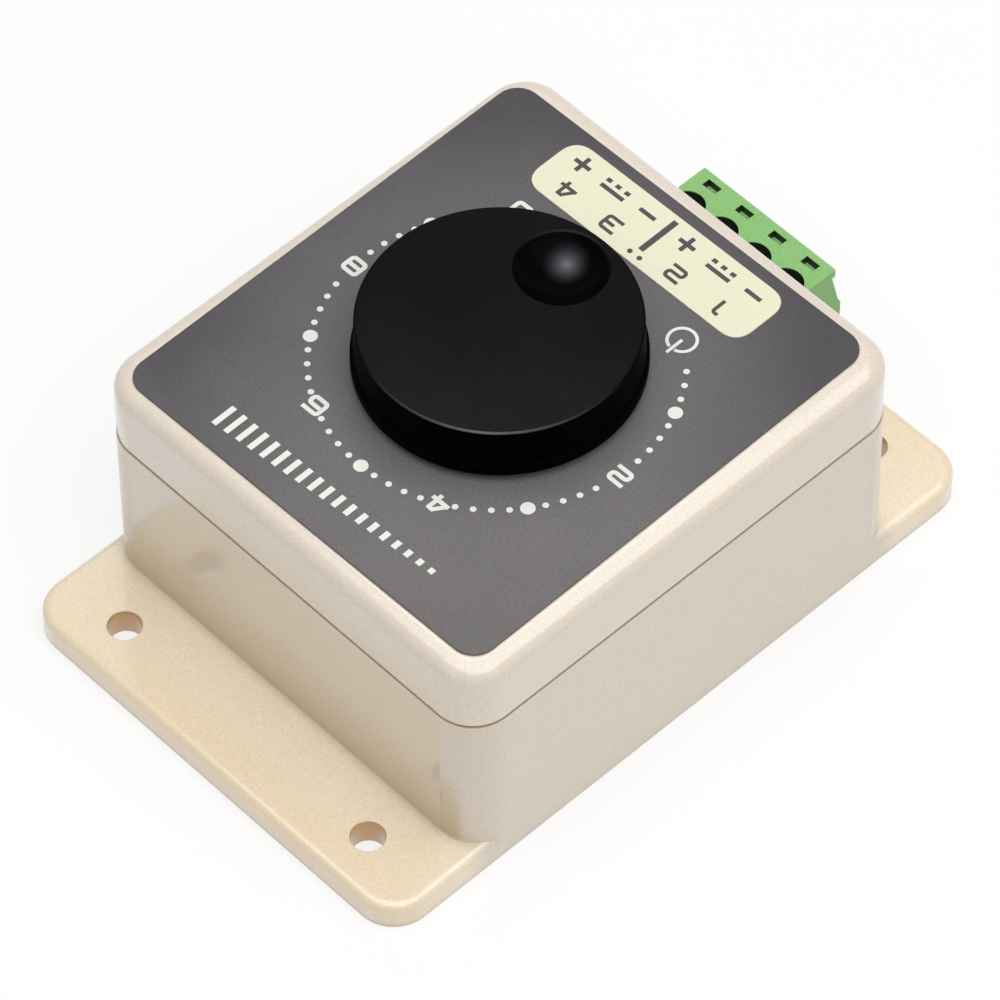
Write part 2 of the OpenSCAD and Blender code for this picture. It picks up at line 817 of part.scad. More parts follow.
// Clamp cage that climbs the screw and lifts the wire against the bar
module clamp_cage(n) {
    color(brass_color) difference() {
        pole_box(pole_x(n), cage_w, screw_out + cage_l / 2, screw_out - cage_l / 2,
            cage_z, cage_z + cage_h);
        pole_box(pole_x(n), cage_w - 2 * cage_side, screw_out + cage_l, screw_out - cage_l,
            cage_z + cage_base, cage_z + cage_base + clamp_window);
        translate([pole_x(n), -screw_out, 0])
            rod(clamp_d + 2 * clamp_fit, cage_z + cage_base, cage_z + cage_h + over);
    }
}

// Finned sink that the transistor is screwed to
module heat_sink() {
    fin_step = (sink_l - sink_fin_t) / (sink_fins - 1);
    color("#3a3d42") difference() {
        translate([0, 0, board_top]) linear_extrude(sink_h) union() {
            translate([sink_x - sink_plate, -sink_l / 2]) square([sink_plate, sink_l]);
            for (n = [0:sink_fins - 1])
                translate([sink_x - sink_plate - sink_fin, -sink_l / 2 + n * fin_step])
                    square([sink_fin + over, sink_fin_t]);
        }
        translate([sink_x - sink_plate - over, 0, tab_hole_z]) rotate([0, 90, 0])
            cylinder(h = sink_plate + 2 * over, d = sink_screw_d + 2 * thread_fit);
    }
}

tab_hole_z = tab_z + tab_h - tab_hole_drop;

// Metal tab and three leads of the power transistor
module transistor_frame() {
    color(tin_color) union() {
        difference() {
            translate([sink_x, -tab_w / 2, tab_z]) cube([tab_t, tab_w, tab_h]);
            translate([sink_x - over, 0, tab_hole_z]) rotate([0, 90, 0])
                cylinder(h = tab_t + 2 * over, d = tab_hole_d);
        }
        for (n = [-1, 0, 1]) translate([lead_x - lead_w / 2, n * lead_pitch - lead_w / 2,
            board_z - lead_tail])
            cube([lead_w, lead_w, tab_z - board_z + lead_tail]);
    }
}

// Moulded body of the power transistor
module transistor_body() {
    color("#232325") translate([sink_x + tab_t, -tab_w / 2 + body_step, tab_z])
        cube([body_t, tab_w - 2 * body_step, body_h]);
}

// Screw that clamps the transistor's tab to the sink
module sink_screw() {
    color(steel_color) translate([sink_x + tab_t, 0, tab_hole_z]) rotate([0, 90, 0])
        difference() {
            union() {
                rod(sink_head_d, 0, sink_head_h);
                rod(sink_screw_d, -tab_t - sink_plate, sink_head_h / 2);
            }
            cross_recess(sink_head_d / 2, sink_head_h, -1);
        }
}

// Part with a lead out of each end, bent down through the board
module bent_leads(span, d, z) {
    rotate([90, 0, 0]) translate([0, z, -span / 2]) cylinder(h = span, d = d);
    for (side = [-0.5, 0.5]) translate([0, side * span, 0]) {
        rod(d, board_z - lead_tail, z);
        translate([0, 0, z]) sphere(d = d);
    }
}

// Flyback diode across the motor terminals
module diode() {
    diode_z = board_top + diode_lift + diode_d / 2;
    color("#2a2a2c") difference() {
        translate([0, diode_y, diode_z]) rotate([0, 90, 0])
            cylinder(h = diode_l, d = diode_d, center = true);
        translate([0, diode_y, diode_z]) rotate([0, 90, 0])
            cylinder(h = diode_l + 2 * over, d = diode_lead_d, center = true);
    }
}

// Leads of the flyback diode
module diode_leads() {
    color(tin_color) translate([0, diode_y, 0]) rotate([0, 0, 90])
        bent_leads(diode_span, diode_lead_d, board_top + diode_lift + diode_d / 2);
}

// Two electrolytic capacitors with their crimped sleeve
module bulk_capacitors() {
    color("#26303f") for (sy = [-1, 1]) translate([bulk_x, sy * bulk_y, board_top])
        rotate_extrude() polygon([[0, 0], [bulk_d / 2, 0], [bulk_d / 2, bulk_groove_z],
            [bulk_d / 2 - bulk_groove, bulk_groove_z + bulk_groove],
            [bulk_d / 2, bulk_groove_z + 2 * bulk_groove], [bulk_d / 2, bulk_h - bulk_groove],
            [bulk_d / 2 - bulk_groove, bulk_h], [0, bulk_h]]);
}

// Leads under the two capacitors
module bulk_leads() {
    color(tin_color) for (sy = [-1, 1], side = [-0.5, 0.5])
        translate([bulk_x, sy * bulk_y + side * bulk_lead_span, 0])
            rod(bulk_lead_d, board_z - lead_tail, board_top);
}

// Timer chip that makes the switching pulses
module timer_chip() {
    color("#202022") difference() {
        translate([-chip_l / 2, chip_y - chip_w / 2, board_top + chip_lift])
            cube([chip_l, chip_w, chip_h]);
        translate([-chip_l / 2, chip_y, board_top + chip_lift + chip_h - chip_lift])
            cylinder(h = chip_lift + over, d = chip_w / 4);
    }
}

// Eight legs of the timer chip
module timer_legs() {
    color(tin_color) for (n = [0:chip_legs - 1], side = [-1, 1]) {
        translate([leg_place(n) - chip_leg_w / 2,
            chip_y + side * chip_rows / 2 - chip_leg_t / 2, board_z - lead_tail])
            cube([chip_leg_w, chip_leg_t, board_t + lead_tail + chip_lift + chip_h / 2]);
        translate([leg_place(n) - chip_leg_w / 2,
            chip_y + (side > 0 ? chip_w / 2 : -chip_rows / 2), chip_shoulder_z])
            cube([chip_leg_w, (chip_rows - chip_w) / 2, chip_leg_t]);
    }
}

chip_shoulder_z = board_top + chip_lift + chip_h / 2 - chip_leg_t;

// Row of axial resistors
module resistors() {
    waist = resistor_d * resistor_waist_share / 2;
    cap = resistor_l * resistor_end_share;
    color("#7fb4cc") for (n = [0:resistors_n - 1])
        translate([resistor_x, resistor_y + n * resistor_gap, resistor_z]) rotate([0, 90, 0])
            rotate_extrude() polygon([[resistor_lead_d / 2, -resistor_l / 2],
                [resistor_d / 2, -resistor_l / 2], [resistor_d / 2, -resistor_l / 2 + cap],
                [waist, -resistor_l / 2 + 2 * cap], [waist, resistor_l / 2 - 2 * cap],
                [resistor_d / 2, resistor_l / 2 - cap], [resistor_d / 2, resistor_l / 2],
                [resistor_lead_d / 2, resistor_l / 2]]);
}

resistor_z = board_top + resistor_lift + resistor_d / 2;

// Leads of the resistors
module resistor_leads() {
    color(tin_color) for (n = [0:resistors_n - 1])
        translate([resistor_x, resistor_y + n * resistor_gap, 0]) rotate([0, 0, 90])
            bent_leads(resistor_span, resistor_lead_d, resistor_z);
}

// Two film capacitors beside the timer's resistors
module film_capacitors() {
    color("#b5472f") for (side = [-0.5, 0.5])
        translate([film_x - film_w / 2, film_y + side * 2 * film_l - film_l / 2, board_top])
            cube([film_w, film_l, film_h]);
}

lower_case();
upper_cover();
cover_screws();
face_panel();
terminal_label();
knob();
pot_shaft();
pot_rotor();
pot_wiper();
pot_bushing();
pot_can();
pot_wafer();
pot_switch();
pot_pins();
pot_washer();
pot_nut();
circuit_board();
board_screws();
header_housing();
header_pins();
plug_housing();
plug_contacts();
clamp_screw(1);  // clamp_screw_1
clamp_screw(2);  // clamp_screw_2
clamp_screw(3);  // clamp_screw_3
clamp_screw(4);  // clamp_screw_4
clamp_cage(1);  // clamp_cage_1
clamp_cage(2);  // clamp_cage_2
clamp_cage(3);  // clamp_cage_3
clamp_cage(4);  // clamp_cage_4
heat_sink();
transistor_frame();
transistor_body();
sink_screw();
diode();
diode_leads();
bulk_capacitors();
bulk_leads();
timer_chip();
timer_legs();
resistors();
resistor_leads();
film_capacitors();
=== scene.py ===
# Look of a wall-mount speed controller for a small DC motor. The solids give sizes and places;
# this script gives their surfaces, a finer knob and label, the print, light and camera.
# Lengths are in metres; X runs along the panel's reading direction, Y up it, Z out of it.
from math import cos, pi, radians, sin, sqrt

import bmesh
import bpy
from mathutils import Matrix, Vector


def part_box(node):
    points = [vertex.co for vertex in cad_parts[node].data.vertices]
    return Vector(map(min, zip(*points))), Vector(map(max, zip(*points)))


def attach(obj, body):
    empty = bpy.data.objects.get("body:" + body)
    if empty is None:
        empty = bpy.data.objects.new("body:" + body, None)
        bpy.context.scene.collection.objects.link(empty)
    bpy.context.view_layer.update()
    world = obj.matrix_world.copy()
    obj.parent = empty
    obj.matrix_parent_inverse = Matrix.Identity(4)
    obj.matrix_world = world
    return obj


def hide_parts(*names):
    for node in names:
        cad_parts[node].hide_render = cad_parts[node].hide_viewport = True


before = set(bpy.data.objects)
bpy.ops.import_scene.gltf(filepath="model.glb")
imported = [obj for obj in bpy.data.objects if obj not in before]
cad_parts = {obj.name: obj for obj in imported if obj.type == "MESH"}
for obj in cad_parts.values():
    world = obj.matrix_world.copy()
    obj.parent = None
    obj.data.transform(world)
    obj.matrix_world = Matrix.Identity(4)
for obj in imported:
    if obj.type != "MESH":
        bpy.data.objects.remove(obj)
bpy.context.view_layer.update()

MM = 0.001


# The view. A long lens looks down on the box from above its upper left corner,
# so that the flange, one long side and the whole dial show.
LENS_MM = 259.2
SENSOR_MM = 36.0
NEAREST_SEEN = 10 * MM
CAMERA_PLACE = (-0.3485, 0.3295, 0.6306)
CAMERA_TURN_DEG = (37.692, 0.227, -133.680)

camera_data = bpy.data.cameras.new("view")
camera_data.lens = LENS_MM
camera_data.sensor_width = SENSOR_MM
camera_data.clip_start = NEAREST_SEEN
camera = bpy.data.objects.new("view", camera_data)
camera.location = CAMERA_PLACE
camera.rotation_euler = [radians(a) for a in CAMERA_TURN_DEG]
bpy.context.collection.objects.link(camera)
bpy.context.scene.camera = camera
bpy.context.scene.view_settings.view_transform = "Standard"


# The table and the room. A white sheet under the object runs out to a white room. A large soft
# box hangs above, a weak one fills the long wall, and a small one behind gives the knob its glint.
TABLE_SIZE = 8.0
TABLE_DROP = 0.02 * MM
TABLE_WHITE = (0.92, 0.92, 0.92, 1)
TABLE_GLOW_SHARE = 0.72
ROOM_LIGHT = 0.20
SOFT_BOXES = {
    "top_box": ((-0.36, 0.02, 2.00), 3.0, 56.5),
    "right_box": ((-1.10, 0.10, 1.10), 0.9, 1.6),
    "glint_box": ((0.48, -0.45, 0.94), 0.16, 0.25),
}


def add(tree, kind, feeds=None, **values):
    """Adds a shader node. feeds gives its inputs sockets or plain values, by number or name; values
    are its settings, or plain values of inputs."""
    made = tree.nodes.new("ShaderNode" + kind)
    for key, value in values.items():
        plain = key.replace("_", " ").title()
        if plain in made.inputs:
            made.inputs[plain].default_value = value
        else:
            setattr(made, key, value)
    for key, source in (feeds or {}).items():
        if isinstance(source, bpy.types.NodeSocket):
            tree.links.new(source, made.inputs[key])
        else:
            made.inputs[key].default_value = source
    return made


def seen_directly(tree):
    """1 for what the camera sees itself, in a reflection or through glass; 0 for light on the object."""
    path = add(tree, "LightPath")
    first = add(tree, "Math", {0: path.outputs["Is Camera Ray"], 1: path.outputs["Is Glossy Ray"]},
        operation="MAXIMUM")
    return add(tree, "Math", {0: first.outputs[0], 1: path.outputs["Is Transmission Ray"]},
        operation="MAXIMUM").outputs[0]


world = bpy.data.worlds.new("room")
bpy.context.scene.world = world
world.use_nodes = True
room = world.node_tree
room.nodes.clear()
room_light = add(room, "Background", color=(1, 1, 1, 1), strength=ROOM_LIGHT)
room_white = add(room, "Background", color=(1, 1, 1, 1), strength=1.0)
room_mix = add(room, "MixShader", {0: seen_directly(room), 1: room_light.outputs[0],
    2: room_white.outputs[0]})
add(room, "OutputWorld", {"Surface": room_mix.outputs[0]})

table_look = bpy.data.materials.new("white_sheet")
table_look.use_nodes = True
sheet = table_look.node_tree
sheet.nodes.clear()
sheet_matt = add(sheet, "BsdfDiffuse", color=TABLE_WHITE)
sheet_glow = add(sheet, "Emission", color=(1, 1, 1, 1), strength=1.0)
sheet_share = add(sheet, "Math", {0: seen_directly(sheet), 1: TABLE_GLOW_SHARE},
    operation="MULTIPLY")
sheet_mix = add(sheet, "MixShader", {0: sheet_share.outputs[0], 1: sheet_matt.outputs[0],
    2: sheet_glow.outputs[0]})
add(sheet, "OutputMaterial", {"Surface": sheet_mix.outputs[0]})

table_mesh = bpy.data.meshes.new("table")
half = TABLE_SIZE / 2
table_mesh.from_pydata([(-half, -half, -TABLE_DROP), (half, -half, -TABLE_DROP),
    (half, half, -TABLE_DROP), (-half, half, -TABLE_DROP)], [], [(0, 1, 2, 3)])
table = bpy.data.objects.new("table", table_mesh)
table_mesh.materials.append(table_look)
bpy.context.collection.objects.link(table)

for box_name, (place, size, power) in SOFT_BOXES.items():
    lamp_data = bpy.data.lights.new(box_name, "AREA")
    lamp_data.shape = "SQUARE"
    lamp_data.size = size
    lamp_data.energy = power
    lamp = bpy.data.objects.new(box_name, lamp_data)
    lamp.location = place
    lamp.rotation_euler = Vector(place).to_track_quat("Z", "Y").to_euler()
    bpy.context.collection.objects.link(lamp)


# The two shells. Injection-moulded ABS in a warm light grey with the fine spark-eroded grain of
# the tool and a soft gloss. The foot with its flanges has yellowed, a little less right at the wall.
# Painted light lifts the flange next to each end wall, where the wall shades it; painted shade,
# browned by the warm light that the flange throws back, darkens the foot of each end wall; painted
# warm light fills the mounting holes; and painted shade darkens the case's deep places.
CASE_COLOUR = (0.695, 0.602, 0.487, 1)
COVER_COLOUR = (0.755, 0.660, 0.547, 1)
FOOT_COLOUR = (0.845, 0.690, 0.475, 1)
# Painted shade at the foot of each end wall, browned by the warm light that the flange throws back.
WALL_FOOT_SHADE_COLOUR = (0.51, 0.385, 0.222, 1)
# Painted light on the flange next to each end wall, where the wall shades it.
STRIP_LIGHT_COLOUR = (0.95, 0.83, 0.64, 1)
# Painted warm light bounced about inside the mounting holes.
HOLE_BOUNCE_COLOUR = (0.72, 0.46, 0.17, 1)
CASE_SHADOW, CASE_SHADOW_REACH = (0.50, 0.39, 0.25, 1), 1.6 * MM
FLANGE_TOP = 4.1 * MM
FLANGE_FADE, UNDERSIDE_FADE = 0.3 * MM, 0.6 * MM
WALL_SHADE_FROM, WALL_SHADE_FULL = 31.0 * MM, 31.8 * MM
YELLOW_FROM, YELLOW_FULL = 29.0 * MM, 33.5 * MM
LIT_STRIP_FROM, LIT_STRIP_FULL = 45.0 * MM, 32.0 * MM
LIT_STRIP_SIDE, LIT_STRIP_MIDDLE, LIT_STRIP_SIDE_SHARE = 24.0 * MM, 12.0 * MM, 0.5
WALL_SHADE_TOP, WALL_SHADE_SHARE = 15.0 * MM, 0.85
HOLE_AT, HOLE_RADIUS = (19.35 * MM, 38.0 * MM, 0), 1.95 * MM
HOLE_WALL_FULL, HOLE_WALL_REACH = 0.03 * MM, 0.12 * MM
SHELL_EDGE, SHELL_EDGE_STEPS = 0.18 * MM, 3
FINE_GRAIN, FINE_DEPTH = 0.15 * MM, 0.006 * MM
FLECK_FROM, FLECK_FULL = 0.35, 0.65
# Edges are lightened: partly wear, partly painted highlight.
EDGE_LIGHT_FROM, EDGE_LIGHT_FULL = 0.995, 0.80
DEEP_FROM, DEEP_FULL = 0.75, 0.25
GLOSS_SPREAD = 0.06
WELD_REACH = 0.001 * MM
FLAT_TURN, SHARP_TURN = radians(0.5), radians(35)


def group_of(name, inputs, outputs):
    """An empty shader group with named sockets, its input node and its output node."""
    group = bpy.data.node_groups.new(name, "ShaderNodeTree")
    for label, kind, value in inputs:
        made = group.interface.new_socket(name=label, in_out="INPUT", socket_type="NodeSocket" + kind)
        made.default_value = value
    for label, kind in outputs:
        group.interface.new_socket(name=label, in_out="OUTPUT", socket_type="NodeSocket" + kind)
    return group, group.nodes.new("NodeGroupInput"), group.nodes.new("NodeGroupOutput")


def mould_grain_group():
    """Grain of a moulded or rolled surface: its height, and a slow mottle for colour and gloss."""
    group, given, out = group_of("mould_grain",
        [("Grain Size", "Float", 0.2 * MM), ("Mottle Size", "Float", 12 * MM)],
        [("Height", "Float"), ("Mottle", "Float"), ("Fleck", "Float")])
    place = add(group, "TexCoord").outputs["Object"]
    fine = add(group, "Math", {0: 1, 1: given.outputs["Grain Size"]}, operation="DIVIDE")
    slow = add(group, "Math", {0: 1, 1: given.outputs["Mottle Size"]}, operation="DIVIDE")
    grain = add(group, "TexNoise", {"Vector": place, "Scale": fine.outputs[0]}, detail=3.0)
    mottle = add(group, "TexNoise", {"Vector": place, "Scale": slow.outputs[0]}, detail=4.0)
    fleck = add(group, "MapRange", {"Value": grain.outputs["Fac"]}, from_min=FLECK_FROM,
        from_max=FLECK_FULL)
    group.links.new(grain.outputs["Fac"], out.inputs["Height"])
    group.links.new(fleck.outputs[0], out.inputs["Fleck"])
    group.links.new(mottle.outputs["Fac"], out.inputs["Mottle"])
    return group


def edge_wear_and_light_group():
    """How far a place lies on an outer edge: the turn of a rounded normal against the true one."""
    group, given, out = group_of("edge_wear_and_light", [("Reach", "Float", 0.3 * MM)], [("Edge", "Float")])
    rounded = add(group, "Bevel", {"Radius": given.outputs["Reach"]}, samples=4)
    true = add(group, "NewGeometry")
    meet = add(group, "VectorMath", {0: rounded.outputs[0], 1: true.outputs["Normal"]},
        operation="DOT_PRODUCT")
    ramp = add(group, "MapRange", {"Value": meet.outputs["Value"]}, from_min=EDGE_LIGHT_FROM,
        from_max=EDGE_LIGHT_FULL)
    group.links.new(ramp.outputs[0], out.inputs["Edge"])
    return group


def deep_places_group():
    """How closed in a place is: 0 on open faces, near 1 down in wells, pockets and slots."""
    group, given, out = group_of("deep_places", [("Reach", "Float", 2 * MM)], [("Depth", "Float")])
    closed_in = add(group, "AmbientOcclusion", {"Distance": given.outputs["Reach"]}, samples=6)
    ramp = add(group, "MapRange", {"Value": closed_in.outputs["AO"]}, from_min=DEEP_FROM,
        from_max=DEEP_FULL)
    group.links.new(ramp.outputs[0], out.inputs["Depth"])
    return group


MOULD_GRAIN = mould_grain_group()
EDGE_WEAR_AND_LIGHT = edge_wear_and_light_group()
DEEP_PLACES = deep_places_group()


def use_group(tree, group, **values):
    """Places a shared group in a material with its own values."""
    made = tree.nodes.new("ShaderNodeGroup")
    made.node_tree = group
    for key, value in values.items():
        made.inputs[key.replace("_", " ").title()].default_value = value
    return made


def mixed(tree, share, a, b, blend="MIX"):
    """Colour a towards colour b by share; each is a socket or a plain value."""
    return add(tree, "Mix", {0: share, 6: a, 7: b}, data_type="RGBA", blend_type=blend).outputs[2]


def shade(colour, share):
    """A colour made lighter or darker by a share."""
    return (*[min(1.0, c * share) for c in colour[:3]], 1)


def look(name, colour, roughness, grain_size=FINE_GRAIN, grain_depth=FINE_DEPTH, mottle=0.05,
        mottle_size=12 * MM, fleck=0.02, edge=1.08, edge_reach=0.3 * MM, hazes=(),
        shadow_colour=None, shadow_reach=2 * MM, **shader):
    """A grained, mottled, flecked surface with lighter edges, partly wear and partly painted highlight;
    shadow_colour is painted shade over its deep places.
    Each of hazes is a group, a second colour that its mask lays over the first, and any values
    that the group takes other than its own."""
    material = bpy.data.materials.new(name)
    material.use_nodes = True
    tree = material.node_tree
    surface = tree.nodes["Principled BSDF"]
    grain = use_group(tree, MOULD_GRAIN, grain_size=grain_size, mottle_size=mottle_size)
    worn_and_lit_edges = use_group(tree, EDGE_WEAR_AND_LIGHT, reach=edge_reach)
    body = mixed(tree, grain.outputs["Mottle"], shade(colour, 1 - mottle), shade(colour, 1 + mottle))
    for group, second_colour, *values in hazes:
        mask = use_group(tree, group, **(values[0] if values else {}))
        body = mixed(tree, mask.outputs[0], body, second_colour)
    body = mixed(tree, grain.outputs["Fleck"], body, shade((1, 1, 1, 1), 1 - 2 * fleck), "MULTIPLY")
    # Lighter edges, partly wear and partly painted highlight; then painted shade in deep places.
    light_shade_and_wear = mixed(tree, worn_and_lit_edges.outputs["Edge"], body, shade(colour, edge))
    if shadow_colour:
        deep = use_group(tree, DEEP_PLACES, reach=shadow_reach)
        light_shade_and_wear = mixed(tree, deep.outputs["Depth"], light_shade_and_wear, shadow_colour)
    tree.links.new(light_shade_and_wear, surface.inputs["Base Color"])
    gloss = add(tree, "MapRange", {"Value": grain.outputs["Mottle"]},
        to_min=roughness - GLOSS_SPREAD, to_max=roughness + GLOSS_SPREAD)
    tree.links.new(gloss.outputs[0], surface.inputs["Roughness"])
    bump = add(tree, "Bump", {"Height": grain.outputs["Height"]}, distance=grain_depth)
    tree.links.new(bump.outputs["Normal"], surface.inputs["Normal"])
    for key, value in shader.items():
        surface.inputs[key.replace("_", " ").title().replace("Ior", "IOR")].default_value = value
    return material


def dress(node, material):
    """Gives a CAD node its material."""
    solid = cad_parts[node]
    solid.data.materials.clear()
    solid.data.materials.append(material)
    return solid


def weld(solid):
    """Joins a solid's corners that lie in one place."""
    join = solid.modifiers.new("weld", "WELD")
    join.merge_threshold = WELD_REACH
    return solid


def soften(solid, radius, segments=2):
    """Rounds a solid's sharp edges: merges its triangles into flat faces, then bevels what stays sharp."""
    flat = weld(solid).modifiers.new("flat", "DECIMATE")
    flat.decimate_type = "DISSOLVE"
    flat.angle_limit = FLAT_TURN
    edge = solid.modifiers.new("edge", "BEVEL")
    edge.width = radius
    edge.segments = segments
    edge.limit_method = "ANGLE"
    edge.angle_limit = SHARP_TURN
    edge.use_clamp_overlap = True
    return solid


def place_in(group):
    """X, Y and Z of the place that is shaded."""
    return add(group, "SeparateXYZ", {0: add(group, "TexCoord").outputs["Object"]})


def times(group, a, b):
    """The product of two masks, or of a mask and a number."""
    return add(group, "Math", {0: a, 1: b}, operation="MULTIPLY").outputs[0]


def at_the_ends(group, place, start, full):
    """1 on the flanges and end walls, 0 between them."""
    out_from_middle = add(group, "Math", {0: place.outputs["Y"]}, operation="ABSOLUTE")
    return add(group, "MapRange", {"Value": out_from_middle.outputs[0]},
        interpolation_type="SMOOTHSTEP", from_min=start, from_max=full).outputs[0]


def on_the_flanges(group, given, place):
    """1 on all of the flanges but their underside."""
    below = add(group, "Math", {0: given.outputs["Top"], 1: place.outputs["Z"]}, operation="SUBTRACT")
    on_flange = add(group, "MapRange", {"Value": below.outputs[0]}, from_max=FLANGE_FADE)
    not_under = add(group, "MapRange", {"Value": place.outputs["Z"]}, from_max=UNDERSIDE_FADE)
    at_ends = at_the_ends(group, place, YELLOW_FROM, YELLOW_FULL)
    return times(group, times(group, at_ends, not_under.outputs[0]), on_flange.outputs[0])


def yellowed_flange_group():
    """Where light has yellowed the flanges."""
    group, given, out = group_of("yellowed_flange", [("Top", "Float", FLANGE_TOP)], [("Yellow", "Float")])
    place = place_in(group)
    group.links.new(on_the_flanges(group, given, place), out.inputs["Yellow"])
    return group


def lit_strip_group():
    """Painted light on the flange next to the end wall, where the wall shades it: most at the wall's
    middle, and less outwards.
    """
    group, given, out = group_of("lit_strip", [("Top", "Float", FLANGE_TOP)], [("Pale", "Float")])
    place = place_in(group)
    near_wall = at_the_ends(group, place, LIT_STRIP_FROM, LIT_STRIP_FULL)
    from_middle = add(group, "Math", {0: place.outputs["X"]}, operation="ABSOLUTE")
    along_wall = add(group, "MapRange", {"Value": from_middle.outputs[0]},
        interpolation_type="SMOOTHSTEP", from_min=LIT_STRIP_SIDE, from_max=LIT_STRIP_MIDDLE,
        to_min=LIT_STRIP_SIDE_SHARE)
    strip = times(group, near_wall, along_wall.outputs[0])
    share = times(group, on_the_flanges(group, given, place), strip)
    group.links.new(share, out.inputs["Pale"])
    return group


def shaded_wall_foot_group():
    """Painted shade at the foot of the end walls, browned by the warm light that the flange throws back:
    most at the flange, and less and less up the wall.
    """
    group, given, out = group_of("shaded_wall_foot", [("Top", "Float", WALL_SHADE_TOP)], [("Stain", "Float")])
    place = place_in(group)
    up_wall = add(group, "MapRange", {"Value": place.outputs["Z"], "From Min": given.outputs["Top"]},
        from_max=FLANGE_TOP, to_max=WALL_SHADE_SHARE)
    above = add(group, "MapRange", {"Value": place.outputs["Z"]}, from_min=FLANGE_TOP - FLANGE_FADE,
        from_max=FLANGE_TOP)
    at_ends = at_the_ends(group, place, WALL_SHADE_FROM, WALL_SHADE_FULL)
    share = times(group, times(group, at_ends, above.outputs[0]), up_wall.outputs[0])
    group.links.new(share, out.inputs["Stain"])
    return group


def hole_wall_group():
    """The walls of the four mounting holes, painted with the warm light that is caught between plastic and
    plastic.
    """
    group, given, out = group_of("hole_wall", [("Radius", "Float", HOLE_RADIUS)], [("Wall", "Float")])
    place = add(group, "TexCoord").outputs["Object"]
    folded = add(group, "VectorMath", {0: place}, operation="ABSOLUTE")
    flat = add(group, "VectorMath", {0: folded.outputs[0], 1: (1, 1, 0)}, operation="MULTIPLY")
    away = add(group, "VectorMath", {0: flat.outputs[0], 1: HOLE_AT}, operation="DISTANCE")
    past = add(group, "Math", {0: away.outputs["Value"], 1: given.outputs["Radius"]},
        operation="SUBTRACT")
    wall = add(group, "MapRange", {"Value": past.outputs[0]}, from_min=HOLE_WALL_REACH,
        from_max=HOLE_WALL_FULL)
    group.links.new(wall.outputs[0], out.inputs["Wall"])
    return group


YELLOWED_FLANGE = yellowed_flange_group()
LIT_STRIP = lit_strip_group()
SHADED_WALL_FOOT = shaded_wall_foot_group()
HOLE_WALL = hole_wall_group()
SHELL_SURFACE = {"roughness": 0.36, "grain_size": 0.32 * MM, "grain_depth": 0.020 * MM,
    "mottle": 0.02, "fleck": 0.05, "coat_weight": 1.0, "coat_roughness": 0.12, "coat_ior": 1.62,
    "specular_ior_level": 0.45}
CASE_LOOK = look("case_plastic", CASE_COLOUR, **SHELL_SURFACE, shadow_colour=CASE_SHADOW,
    shadow_reach=CASE_SHADOW_REACH, hazes=[(SHADED_WALL_FOOT, WALL_FOOT_SHADE_COLOUR),
    (YELLOWED_FLANGE, FOOT_COLOUR), (LIT_STRIP, STRIP_LIGHT_COLOUR), (HOLE_WALL, HOLE_BOUNCE_COLOUR)])
COVER_LOOK = look("cover_plastic", COVER_COLOUR, **SHELL_SURFACE)
soften(dress("lower_case", CASE_LOOK), SHELL_EDGE, SHELL_EDGE_STEPS)
soften(dress("upper_cover", COVER_LOOK), SHELL_EDGE, SHELL_EDGE_STEPS)


# The circuit board and its screws. Glass laminate under green solder mask, screwed to posts in
# the lower case with zinc-plated self-tapping screws.
MASK_GREEN = (0.018, 0.130, 0.050, 1)
TRACK_GREEN = (0.050, 0.230, 0.080, 1)
ZINC_COLOUR, ZINC_WORN = (0.52, 0.53, 0.55, 1), (0.36, 0.35, 0.33, 1)
TRACK_PITCH, TRACK_SHARE = 2.54 * MM, 0.42
LINES_FROM, LINES_FULL = 0.4, 0.65
SCREW_EDGE = 0.06 * MM


def drawn_lines_group():
    """Fine lines that drawing, turning or extruding leaves; they run along the squeezed coordinate."""
    group, given, out = group_of("drawn_lines", [("Line Size", "Float", 0.08 * MM),
        ("Stretch", "Vector", (1, 1, 0.05))], [("Lines", "Float")])
    place = add(group, "TexCoord").outputs["Object"]
    along = add(group, "VectorMath", {0: place, 1: given.outputs["Stretch"]}, operation="MULTIPLY")
    often = add(group, "Math", {0: 1, 1: given.outputs["Line Size"]}, operation="DIVIDE")
    noise = add(group, "TexNoise", {"Vector": along.outputs[0], "Scale": often.outputs[0]}, detail=2.0)
    lines = add(group, "MapRange", {"Value": noise.outputs["Fac"]}, from_min=LINES_FROM,
        from_max=LINES_FULL)
    group.links.new(lines.outputs[0], out.inputs["Lines"])
    return group


def bands_group():
    """Bands of a second colour across one direction: tracks under the mask, rings on a small part."""
    group, given, out = group_of("bands", [("Across", "Vector", (1, 0, 0)), ("Pitch", "Float", TRACK_PITCH),
        ("Width", "Float", TRACK_SHARE)], [("Band", "Float")])
    place = add(group, "TexCoord").outputs["Object"]
    along = add(group, "VectorMath", {0: place, 1: given.outputs["Across"]}, operation="DOT_PRODUCT")
    turns = add(group, "Math", {0: along.outputs["Value"], 1: given.outputs["Pitch"]}, operation="DIVIDE")
    part = add(group, "Math", {0: turns.outputs[0]}, operation="FRACT")
    inside = add(group, "Math", {0: part.outputs[0], 1: given.outputs["Width"]}, operation="LESS_THAN")
    group.links.new(inside.outputs[0], out.inputs["Band"])
    return group


DRAWN_LINES = drawn_lines_group()
BANDS = bands_group()
dress("circuit_board", look("board_varnish", MASK_GREEN, roughness=0.30, grain_size=0.20 * MM,
    grain_depth=0.008 * MM, mottle=0.12, hazes=[(BANDS, TRACK_GREEN)], coat_weight=0.4))
STEEL_LOOK = look("zinc_steel", ZINC_COLOUR, roughness=0.32, mottle=0.08,
    hazes=[(DRAWN_LINES, ZINC_WORN)], metallic=1.0)
soften(dress("board_screws", STEEL_LOOK), SCREW_EDGE)


